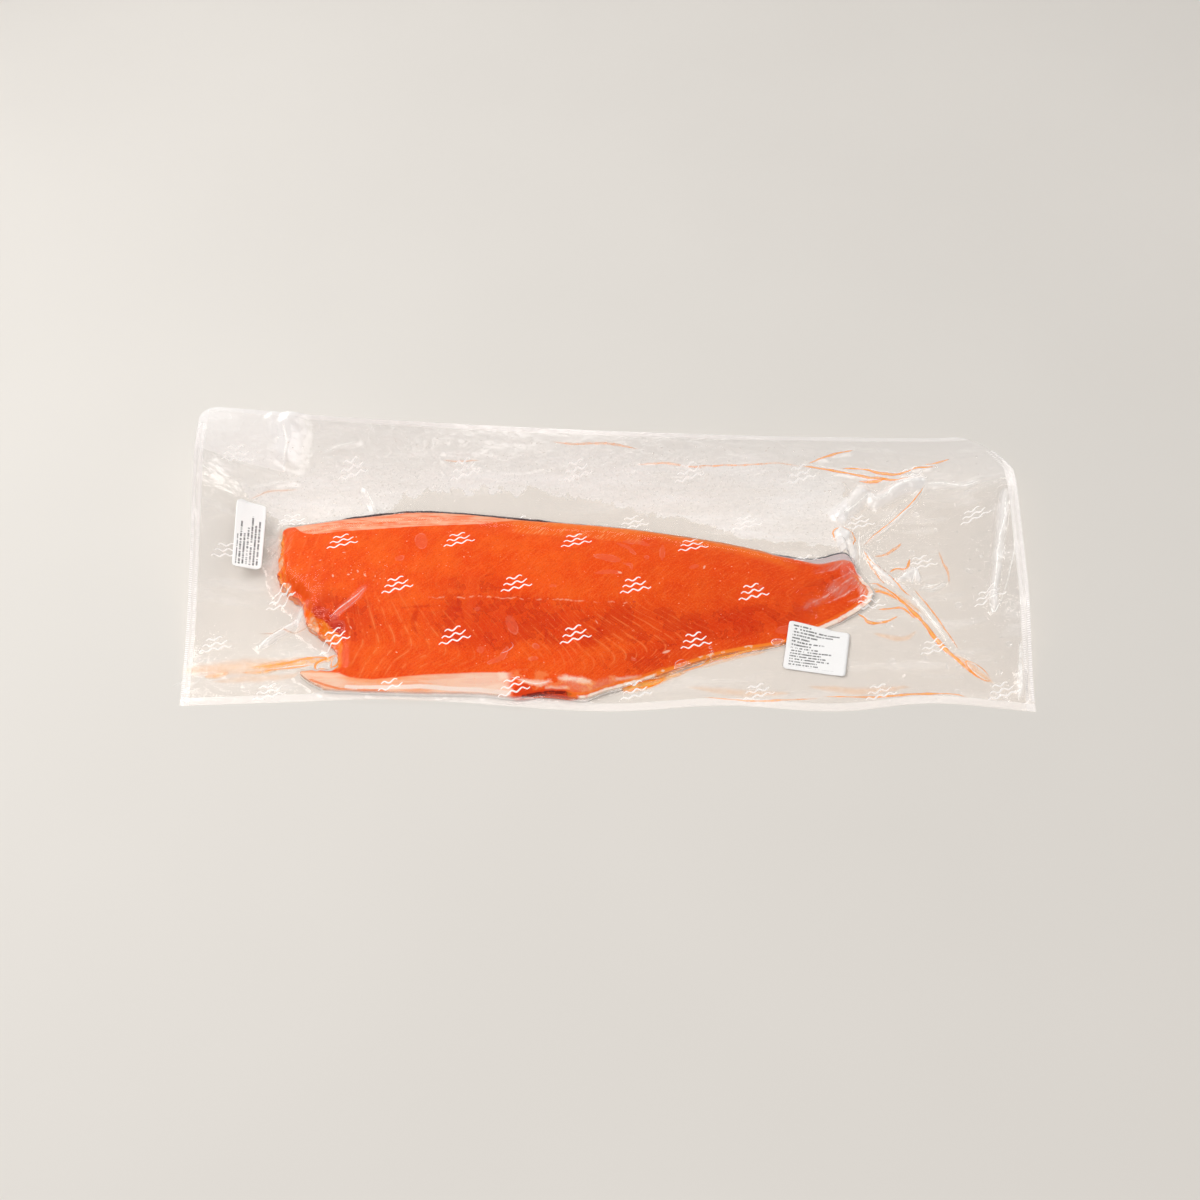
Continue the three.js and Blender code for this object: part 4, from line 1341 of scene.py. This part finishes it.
def domes(places, radii, heights, stretch, turn):
    """Points and faces of flat domes, one over each place."""
    angle = np.arange(SIDES) * 2 * math.pi / SIDES
    points, faces = [], []
    for k, place in enumerate(places):
        first = k * (SIDES * len(DOME_RINGS) + 1)
        c, s = math.cos(turn[k]), math.sin(turn[k])
        for ring_number, (out, up) in enumerate(DOME_RINGS):
            u = np.cos(angle) * out * radii[k] * stretch[k]
            v = np.sin(angle) * out * radii[k]
            points.append(np.column_stack([place[0] + u * c - v * s, place[1] + u * s + v * c,
                                           np.full(SIDES, place[2] + up * heights[k])]))
            if ring_number:
                low, high = first + (ring_number - 1) * SIDES, first + ring_number * SIDES
                faces += ring_faces(high + np.arange(SIDES), low + np.arange(SIDES))
        top = first + SIDES * len(DOME_RINGS)
        points.append(np.array([[place[0], place[1], place[2] + heights[k]]]))
        faces += [[top - SIDES + i, top - SIDES + (i + 1) % SIDES, top] for i in range(SIDES)]
    return np.concatenate(points), faces


def scatter(count, box, wanted, seed):
    """Random places in a box, kept where wanted(x, y) says so with its chance."""
    draw = np.random.default_rng(seed)
    x, y = draw.uniform(box[0], box[1], count * 6), draw.uniform(box[2], box[3], count * 6)
    chosen = np.flatnonzero(draw.uniform(0, 1, len(x)) < wanted(x, y))[:count]
    return x[chosen], y[chosen], draw


print("points of one dome:", SIDES * len(DOME_RINGS) + 1)


# %% Drops in the fog, bubbles in the free film, and specks over the meat
def drop_material(name, haze, clear):
    board = Board(name)
    mirror = board.mirror() * 1.5
    solid = (mirror + haze).lower(0.9)
    return board.surface(
        {
            "Base Color": paint(246, 242, 240), "Metallic": (mirror / solid).lower(1.0),
            "Roughness": board.ramp(board.grain(3, 1), 0.3, 0.7, 0.04, 0.1),
        },
        see_through=1 - solid, clear=clear,
    )


def speck_material():
    board = Board("fat_speck")
    tone = board.ramp(board.grain(14, 2), 0.4, 0.6)
    pale = board.mix(tone, (255, 190, 150), (255, 140, 84))
    return board.surface({"Base Color": pale, "Roughness": board.ramp(tone, 0.3, 0.7, 0.15, 0.3)})


def scatter_domes(name, count, box, wanted, seed, size, flat, above, material):
    x, y, draw = scatter(count, box, wanted, seed)
    radii = size[0] + (size[1] - size[0]) * draw.uniform(0, 1, len(x)) ** 3
    stretch, turn = draw.uniform(1.0, 1.7, len(x)), draw.uniform(0, math.pi, len(x))
    points, faces = domes(on_film(x, y, above), radii, radii * flat, stretch, turn)
    add_piece(name, points, faces, material, shadow=False)


def in_fog(x, y):
    return 0.9 * smoothstep(fog_margin(x, y), -2, 8)


def in_free_film(x, y):
    return 0.5 * smoothstep(side_edge(y) - x, 10, 18) * smoothstep(back_edge(x) - y, 8, 20)


def on_meat(x, y):
    near_cut = hill(np.hypot((x + 195) / 90, (y + 12) / 30), 1.2)
    return (nearest_on_outline(x, y)[0] > 6) * (0.1 + 0.9 * near_cut)


water = drop_material("water_drop", 0.1, (0.9, 0.875, 0.85, 1))
air = drop_material("air_bubble", 0.16, (1, 1, 1, 1))
scatter_domes("fog_drops", 1000, (-292, 200, 30, 118), in_fog, seed=71, size=(0.3, 0.9), flat=0.35,
              above=-0.05, material=water)
scatter_domes("free_bubbles", 90, (205, 325, -125, 120), in_free_film, seed=72, size=(0.8, 3.4),
              flat=0.14, above=0.0, material=air)
scatter_domes("meat_specks", 380, (-250, 200, -115, 50), on_meat, seed=73, size=(0.2, 0.55), flat=0.3,
              above=-0.1, material=speck_material())
# Three larger drops hang at the belly's edge.
edge_drops = domes(on_film(np.array([57, 131, 80]), np.array([-94, -70.5, -81.5])),
                   (3.2, 3.2, 1.5), (1.0, 1.0, 0.6), (2.2, 1.7, 1.1), (0.4, 0.2, 0))
add_piece("edge_drops", *edge_drops, water, shadow=False)

# %% [markdown]
# ## Juice
# A little orange juice runs along the creases by capillary force, as thin threads with brighter
# edges. Each thread is a ribbon that follows the film, widest in its middle. The threads are listed
# by their path, their width and how strong their colour is.

# %% Paths of the juice
def oval_path(centre, size, turn=0.0):
    """A closed oval as a path: centre, half size and turn."""
    angle = np.linspace(0, 2 * math.pi, 25) + 0.5
    c, s = math.cos(math.radians(turn)), math.sin(math.radians(turn))
    u, v = size[0] * np.cos(angle), size[1] * np.sin(angle)
    return list(zip(centre[0] + u * c - v * s, centre[1] + u * s + v * c))


# Each thread and each stain: its path, its width and its strength.
JUICE = [
    ([(204, -9), (213, -11), (224, -19), (231, -28), (239, -40), (246, -51), (253, -66), (262, -80),
      (272, -94), (284, -107)], 3.2, 1.0),
    ([(209, -19), (215, -18), (220, -20), (228, -26)], 2.6, 0.9),
    ([(211, -36), (220, -36), (229, -34), (234, -38), (240, -46)], 2.4, 0.9),
    ([(194, -41), (200, -44), (203, -49), (215, -49), (227, -43)], 2.8, 0.9),
    ([(224, 2), (230, 5), (237, 5), (240, 10), (243, 17)], 2.6, 0.9),
    ([(214, 18), (221, 20), (228, 24), (238, 34)], 2.6, 0.6),
    ([(266, 26), (268, 12), (271, 1), (270, -11)], 1.6, 0.5),
    ([(205, 28), (221, 46), (242, 66), (254, 79), (261, 90)], 1.4, 0.9),
    ([(205, 24), (211, 10), (222, -2), (232, -16), (240, -24)], 1.6, 0.85),
    ([(206, 17), (212, 2), (220, -11)], 1.2, 0.6),
    ([(241, -14), (252, -34), (262, -58), (270, -78)], 1.6, 0.7),
    (BACK_FOLD, 2.2, 0.85),
    ([(192, 104), (210, 103), (225, 100), (239, 99), (254, 104), (273, 107)], 2.0, 0.85),
    ([(262, 108), (273, 110), (284, 113)], 1.6, 0.6),
    (SHORT_FOLD, 1.6, 0.7),
    ([(207, 93), (218, 93), (231, 96)], 2.2, 0.95),
    ([(60, 102), (100, 104), (140, 106), (160, 105)], 1.2, 0.5),
    ([(185, 34), (183, 41), (184, 46), (188, 49), (195, 45), (200, 37), (198, 30), (196, 24)], 1.6, 0.9),
    ([(160, -121), (197, -121.5), (250, -118), (272, -122)], 2.0, 0.85),
    ([(70, -121), (110, -125), (160, -123)], 1.6, 0.6),
    ([(-207, -85), (-222, -84), (-240, -88), (-262, -93)], 2.2, 0.85),
    ([(-224, -91), (-240, -94), (-262, -97)], 1.4, 0.7),
    ([(10, -116.5), (24, -112.5), (36, -108.5), (46, -102)], 4.5, 1.0),
    ([(54, -99.5), (70, -92.5), (84, -86.5), (104, -80.5), (124, -75.5)], 2.0, 0.9),
    ([(-222, -62), (-250, -60), (-270, -62)], 1.0, 0.35),
    ([(-289, 66), (-275, 77), (-251, 84)], 1.0, 0.35),
    (oval_path((-213, -92), (9.5, 7), 10), 1.9, 0.95),
    (oval_path((-207, -92), (3, 5), 10), 1.4, 0.95),
    (oval_path((281, -98), (12, 4), -48), 1.3, 0.8),
    ([(-46, 117.5), (-28, 116), (-8, 117), (8, 116), (28, 114)], 1.5, 0.5),
    ([(-134, 104.5), (-120, 103.5), (-104, 104.5)], 1.2, 0.4),
    ([(24, 103), (44, 104.5), (64, 103), (82, 102)], 1.3, 0.45),
]
STAINS = [
    ([(-207, -86), (-226, -88), (-248, -91), (-272, -94)], 13, 0.85),
    ([(-236, -90), (-262, -92), (-294, -95), (-324, -98)], 22, 0.45),
    ([(-250, -96), (-262, -98), (-278, -99)], 6, 0.7),
    ([(-286, -99), (-296, -102), (-306, -103)], 8, 0.6),
    ([(-228, -100), (-262, -104), (-300, -108)], 10, 0.3),
    ([(262, -78), (276, -94), (292, -110)], 9, 0.6),
    ([(207, -14), (228, -24), (246, -40)], 8, 0.6),
    ([(150, -112), (190, -116), (230, -112)], 10, 0.35),
    ([(205, -60), (226, -66), (240, -58)], 8, 0.35),
    ([(60, -112), (100, -118), (140, -118)], 10, 0.3),
    ([(10, -118), (28, -113), (46, -104), (62, -97)], 7, 0.9),
    ([(70, -95), (96, -85), (124, -78)], 5, 0.5),
    ([(-262, 40), (-255, 0), (-250, -26)], 8, 0.4),
]
print("threads:", len(JUICE), "stains:", len(STAINS))


# %% Ribbons along a path
def left_of(path):
    """Arrows of length 1 that point to the left of a path, one at each of its points."""
    ahead = np.gradient(path, axis=0)
    return np.stack([-ahead[:, 1], ahead[:, 0]], axis=1) / np.hypot(*ahead.T)[:, None]


def add_ribbons(name, lines, material, step, across, above, seed, bumpy=0.4):
    """One piece of ribbons that follow the film, with their two painted values."""
    strips, strengths = [], []
    share = np.linspace(-1, 1, across)
    for k, (path, width, strength) in enumerate(lines):
        centre = smooth_curve(path, step)
        left = left_of(centre)
        swell = np.sin(math.pi * np.linspace(0, 1, len(centre)))
        half = 0.5 * width * swell**0.6 * (1 + bumpy * hills(*centre.T, 6, seed + k))
        centre = centre + left * (0.5 * hills(*centre.T, 8, seed + 50 + k))[:, None]
        strips.append(centre[:, None] + left[:, None] * (half[:, None] * share)[:, :, None])
        strengths.append(strength * np.minimum(1, 4 * swell))
    strengths = np.concatenate(strengths)
    values = {"side_share": np.tile(np.abs(share), len(strengths)), "strength": np.repeat(strengths, across)}
    points, faces = lay_on_film(strips, above)
    add_piece(name, points, faces, material, values, shadow=False)


print("left of the way to +Y is", left_of([(0, 0), (0, 1)])[0])


# %% Juice threads
# How solid juice is across a thread, as ramps that are multiplied: from, to, value before, value after.
THREAD_PROFILE = ((0.3, 0.75, 0.78, 1.0), (0.85, 1.0, 1.0, 0.0))
STAIN_PROFILE = ((0.1, 1.0, 0.62, 0.0),)


def juice_material(name, light, dark, profile):
    """Juice that goes from a light tone in the middle of a thread to a dark one at its sides."""
    board = Board(name)
    side, lump = board.painted("side_share"), board.grain(5, 3)
    solid = board.painted("strength") * board.ramp(lump, 0.3, 0.65, 0.7, 1.15)
    for ramp in profile:
        solid = solid * board.ramp(side, *ramp)
    return board.surface(
        {
            "Base Color": board.mix(board.ramp(side, 0.2, 0.9), light, dark),
            "Roughness": board.ramp(lump, 0.3, 0.7, 0.12, 0.25),
        },
        see_through=1 - solid.lower(1.0),
    )


juice = juice_material("juice", (255, 170, 52), (250, 126, 6), THREAD_PROFILE)
thin_juice = juice_material("thin_juice", (255, 172, 56), (255, 160, 48), STAIN_PROFILE)
add_ribbons("juice_threads", JUICE, juice, step=1.2, across=5, above=0.08, seed=200)
add_ribbons("juice_stains", STAINS, thin_juice, step=2.0, across=9, above=0.05, seed=300, bumpy=0.15)

# %% [markdown]
# Where film is bent sharply it turns white. The lines of light that would shine on fold crests,
# along film that lets go of wet meat and round bubbles are painted in white too, as painted
# highlights. Both are drawn as narrow white ribbons along the crests of the folds.

# %% White creases and painted highlights
# Each white line: path, width and strength. Some are stress-whitened film, the rest painted highlights:
# glints on fold crests, bubble rims and the wet meat by the belly.
CREASES_AND_GLINTS = [
    ([(205, 48), (203.5, 36), (203, 26), (201, 10)], 1.8, 1.0),
    ([(206, 29), (222, 45), (243, 65), (256, 78), (262, 92)], 1.2, 0.9),
    ([(262, 92), (278, 91), (292, 86), (306, 88)], 1.8, 0.9),
    ([(207, 22), (214, 7), (226, -5), (234, -15)], 1.7, 0.9),
    ([(192, 61), (205, 72), (217, 83)], 2.8, 0.8),
    ([(218, 82), (219, 76), (223, 75)], 2.4, 0.8),
    ([(222, 75), (229, 79), (236, 86), (252, 91)], 2.4, 0.75),
    ([(197, -40), (205, -46), (221, -46)], 1.3, 0.8),
    ([(323, 71), (317, 41), (309, 12), (303, -17), (298, -40)], 2.4, 0.85),
    ([(326, 36), (318, -2), (304, -42)], 1.4, 0.6),
    ([(296, -38), (299, -47), (304, -40)], 2.0, 0.8),
    ([(316, -75), (312, -107), (308, -127)], 5.0, 0.7),
    ([(231, -6), (238, -1)], 2.6, 1.0),
    ([(245, 6), (243, -4), (241, -11)], 2.0, 1.0),
    ([(247, -16), (253, -13), (263, -10)], 2.0, 0.85),
    ([(240, -26), (254, -50), (266, -72)], 1.2, 0.6),
    ([(-265, 124), (-262.5, 115), (-263, 105), (-266, 95)], 1.8, 0.95),
    (TENT_FOLD, 2.0, 0.65),
    ([(-236, -50), (-250, -63), (-262, -75)], 1.0, 0.5),
    ([(-212, -56.5), (-202, -48), (-193, -40), (-186, -32)], 1.3, 0.5),
    ([(-213, -57.5), (-207, -52.5), (-202, -48.5)], 1.5, 0.6),
    ([(-211, -60), (-201, -52), (-193, -43.5), (-186, -33)], 0.8, 0.3),
    (CORNER_NICKS[0], 0.9, 0.6),
    (CORNER_NICKS[1], 0.9, 0.6),
    ([(-198, 86), (-189, 68)], 2.2, 0.8),
    ([(-286, 77), (-267, 86), (-251, 90)], 1.0, 0.5),
    ([(-232, 108), (-219, 112), (-203, 116)], 1.0, 0.5),
    ([(192, 106), (225, 102), (240, 101), (254, 106), (273, 109)], 1.0, 0.6),
    ([(160, 107), (183, 104), (210, 99), (234, 97)], 1.0, 0.6),
    ([(-222, -90), (-236, -92), (-256, -95)], 1.4, 0.6),
    (oval_path((-213, -92), (8, 5.5), 10), 0.8, 0.5),
    ([(189, 24), (193, 10), (198, -4), (203, -13)], 6.0, 0.55),
    (oval_path((281, -98), (10.5, 3), -48), 0.9, 0.6),
    (oval_path((262, 24), (4, 2.6), 20), 0.9, 0.5),
    (oval_path((300, 60), (3, 2), 0), 0.8, 0.5),
    (oval_path((56, -93), (4.6, 2.4), 24), 0.8, 0.7),
    (oval_path((130, -71), (4.2, 2.8), 12), 0.8, 0.7),
    (oval_path((79, -78.5), (1.7, 1.3), 0), 0.6, 0.6),
    ([(-74, -108), (-66, -111), (-54, -114), (-46, -113), (-42, -110)], 1.1, 0.6),
    ([(-81, -89), (-75, -87), (-71, -83), (-73, -79)], 0.9, 0.5),
    ([(-31, -111), (-25, -110), (-18, -111)], 0.9, 0.45),
]


# White paint for the creases, which also carries their painted highlights.
def crease_and_glint_material():
    board = Board("white_crease_and_glint")
    lump = board.grain(4, 3)
    solid = board.ramp(board.painted("side_share"), 0.25, 1.0, 1.0, 0.0) * board.painted("strength")
    solid = solid * board.ramp(lump, 0.3, 0.6, 0.45, 1.0)
    finish = {"Base Color": paint(255, 252, 248), "Roughness": board.ramp(lump, 0.3, 0.7, 0.15, 0.3)}
    return board.surface(finish, see_through=1 - solid)


add_ribbons("white_creases_and_glints", CREASES_AND_GLINTS, crease_and_glint_material(), step=1.2, across=5, above=0.12, seed=400)

# %% [markdown]
# ## Print
# Food bags often carry a small white mark all over. Here it is a plain one: three waves. A stroke
# is a narrow ribbon, so it bends with every fold of the film, as ink does. The marks stand in
# staggered rows, like bricks.

# %% Printed waves
MARK_START, MARK_PITCH = (-358, -124), (92, 43)
MARK_ROWS, MARK_COLUMNS = 6, 9
INK_WIDTH = 1.25
# Each wave of a mark: how far right and up it starts, and its length.
WAVES = ((0, 0, 24), (2, 4.8, 18), (4, 9.6, 12))


def ink_material():
    board = Board("white_ink")
    wear = board.ramp(board.grain(2.2, 3, 0.7), 0.25, 0.5, 0.7, 1.0)
    finish = {"Base Color": paint(255, 250, 246), "Roughness": board.ramp(wear, 0.3, 1, 0.6, 0.45)}
    return board.surface(finish, see_through=1 - wear)


def mark_strokes(x, y):
    """The lines of one mark whose lower left corner is at x, y."""
    for right, up, long in WAVES:
        t = np.linspace(0, 1, 13)
        yield x + right + t * long, y + up + 1.1 * np.sin(t * long * 0.78) + 0.3 * (right + t * long)


def inside_bag(x, y):
    """Whether a stroke lies well inside the edges of the bag."""
    left, right = bag_ends(y, np.maximum(back_edge(x) - y, 0))
    inside = (x > left + 1) & (x < right - 1) & (y > front_edge(x) + 1) & (y < back_edge(x) - 3)
    return inside.all()


strokes = []
for row in range(MARK_ROWS):
    for column in range(MARK_COLUMNS):
        corner_x = MARK_START[0] + (column + 0.5 * (row % 2)) * MARK_PITCH[0]
        marks = mark_strokes(corner_x, MARK_START[1] + row * MARK_PITCH[1])
        strokes += [stroke for stroke in marks if inside_bag(*stroke)]
strips = []
for stroke in strokes:
    centre = smooth_curve(np.transpose(stroke), 0.8)
    taper = np.sin(math.pi * np.linspace(0.12, 0.88, len(centre))) ** 0.5
    side = left_of(centre) * (0.5 * INK_WIDTH * taper)[:, None]
    strips.append(np.stack([centre + side, centre - side], axis=1))
print("ink strokes:", len(strokes))
add_piece("printed_marks", *lay_on_film(strips, 0.16), ink_material(), shadow=False)

# %% [markdown]
# ## Labels
# Two labels of white paper lie on the film. They have rounded corners and follow the film's shape.
# What is printed on them is only shown as grey bars of uneven length.

# %% Label paper
# Places on a label are counted from this far outside its middle, so that none is below 0.
LABEL_ZERO = 60


def label_material(name, pitch, bar, along_field, across_field):
    """White paper with grey bars: line pitch, bar height and the printed field, in millimetres."""
    board = Board(name)
    left, right = (LABEL_ZERO + v for v in along_field)
    along, across = board.painted("along"), board.painted("across")
    line = across * (1 / pitch)
    number = line.sum("FLOOR", line)
    chance = board.node("ShaderNodeTexWhiteNoise", {"noise_dimensions": "1D"}, {"W": number + 0.37}, "Value")
    bars = board.band(line.part(), 0.5 - bar / pitch / 2, 0.5 + bar / pitch / 2, 0.12)
    line_end = (1 - chance * 0.35) * right
    bars = bars * board.ramp(along, left, left + 0.3) * board.ramp(along - line_end, -0.3, 0.0, 1.0, 0.0)
    bars = bars * board.band(across, *(LABEL_ZERO + v for v in across_field), 0.2)
    words = board.node("ShaderNodeCombineXYZ", None, {0: along * 0.9, 1: number * 7.3})
    letters = board.node("ShaderNodeCombineXYZ", None, {0: along * 2.4, 1: across * 1.6})
    bars = bars * board.ramp(board.noise(words, 1), 0.42, 0.46)
    bars = bars * board.ramp(board.noise(letters, 2), 0.4, 0.52, 0.45, 1.0)
    fibres = board.grain(0.8, 3, 0.7)
    paper = board.mix(board.ramp(fibres, 0.3, 0.7), (250, 248, 246), (255, 253, 251))
    return board.surface({
        "Base Color": board.mix(bars * 0.95, paper, (34, 32, 36)),
        "Roughness": board.ramp(fibres, 0.3, 0.7, 0.5, 0.65), "Normal": board.bump(fibres, 0.08, 0.4),
    })


tall_paper = label_material("tall_label_paper", 2.7, 1.7, (-29, 28), (-9, 9))
wide_paper = label_material("wide_label_paper", 2.65, 1.6, (-20, 20), (-18.5, 19.5))
print("papers:", tall_paper.name, wide_paper.name)

# %% Labels
LABEL_THICKNESS = 0.22
LABEL_GAP = 0.3
LABEL_ROWS, LABEL_COLUMNS = 49, 25


def stiffened(height, rounds=12):
    """A sheet that bridges the hollows below it: each point rises to the mean of its neighbours."""
    for _ in range(rounds):
        near = np.pad(height, 1, mode="edge")
        mean = (near[:-2, 1:-1] + near[2:, 1:-1] + near[1:-1, :-2] + near[1:-1, 2:]) / 4
        height = np.maximum(height, mean)
    return height


def add_label(name, centre, size, turn, corner, material):
    """A sheet of paper with round corners and a real thickness that follows the film."""
    across = np.linspace(-0.5, 0.5, LABEL_ROWS) * size[1]
    into = np.maximum(np.abs(across) - (size[1] / 2 - corner), 0)
    half = size[0] / 2 - corner + np.sqrt(np.maximum(corner**2 - into**2, 0))
    u = np.linspace(-1, 1, LABEL_COLUMNS)[None, :] * half[:, None]
    v = np.broadcast_to(across[:, None], u.shape)
    c, s = math.cos(math.radians(turn)), math.sin(math.radians(turn))
    x, y = centre[0] + u * c - v * s, centre[1] + u * s + v * c
    top = stiffened(on_film(x, y)[..., 2]) + LABEL_GAP + LABEL_THICKNESS
    sides = [np.stack([x, y, z], axis=-1).reshape(-1, 3) for z in (top, top - LABEL_THICKNESS)]
    faces = grid_faces(LABEL_COLUMNS, LABEL_ROWS)
    count = LABEL_ROWS * LABEL_COLUMNS
    faces += [[count + i for i in reversed(face)] for face in faces]
    at = np.arange(count).reshape(LABEL_ROWS, LABEL_COLUMNS)
    rim = np.concatenate([at[0, :-1], at[:-1, -1], at[-1, :0:-1], at[:0:-1, 0]])
    faces += ring_faces(rim, count + rim)
    along, across = np.tile(u.ravel(), 2) + LABEL_ZERO, np.tile(v.ravel(), 2) + LABEL_ZERO
    if size[1] > size[0]:
        along, across = across, 2 * LABEL_ZERO - along
    values = {"along": along, "across": across}
    add_piece(name, np.concatenate(sides), faces, material, values, stands_for=name, slot="label")


add_label("label_left", (-286, 31.5), (22.5, 64), 2.2, 3.5, tall_paper)
add_label("label_right", (160.5, -77.5), (47.5, 43), -10, 2.5, wide_paper)

# %% [markdown]
# ## Floor
# A plain pale floor, a little darker than the film's highlights, so that the clear bag shows.

# %% Floor
FLOOR = 4.0
floor_mesh = bpy.data.meshes.new("floor")
floor_corners = [(-FLOOR, -FLOOR, 0), (FLOOR, -FLOOR, 0), (FLOOR, FLOOR, 0), (-FLOOR, FLOOR, 0)]
floor_mesh.from_pydata(floor_corners, [], [(0, 1, 2, 3)])
floor_board = Board("pale_floor")
floor_tone = floor_board.ramp(floor_board.grain(300, 2), 0.3, 0.7)
floor_paint = floor_board.mix(floor_tone, (221, 216, 209), (223, 218, 211))
floor_mesh.materials.append(floor_board.surface({"Base Color": floor_paint, "Roughness": 0.6}))
floor = bpy.data.objects.new("floor", floor_mesh)
bpy.context.collection.objects.link(floor)
floor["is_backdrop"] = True
print("floor side:", 2 * FLOOR, "m")

# %% [markdown]
# ## Sizes
# Last, the size of what is seen is written beside the size of the construction model.

# %% Sizes
seen_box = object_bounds()
for label, (low, high) in (("model", cad_box), ("seen", seen_box)):
    print(label, [round(v, 4) for v in high - low])
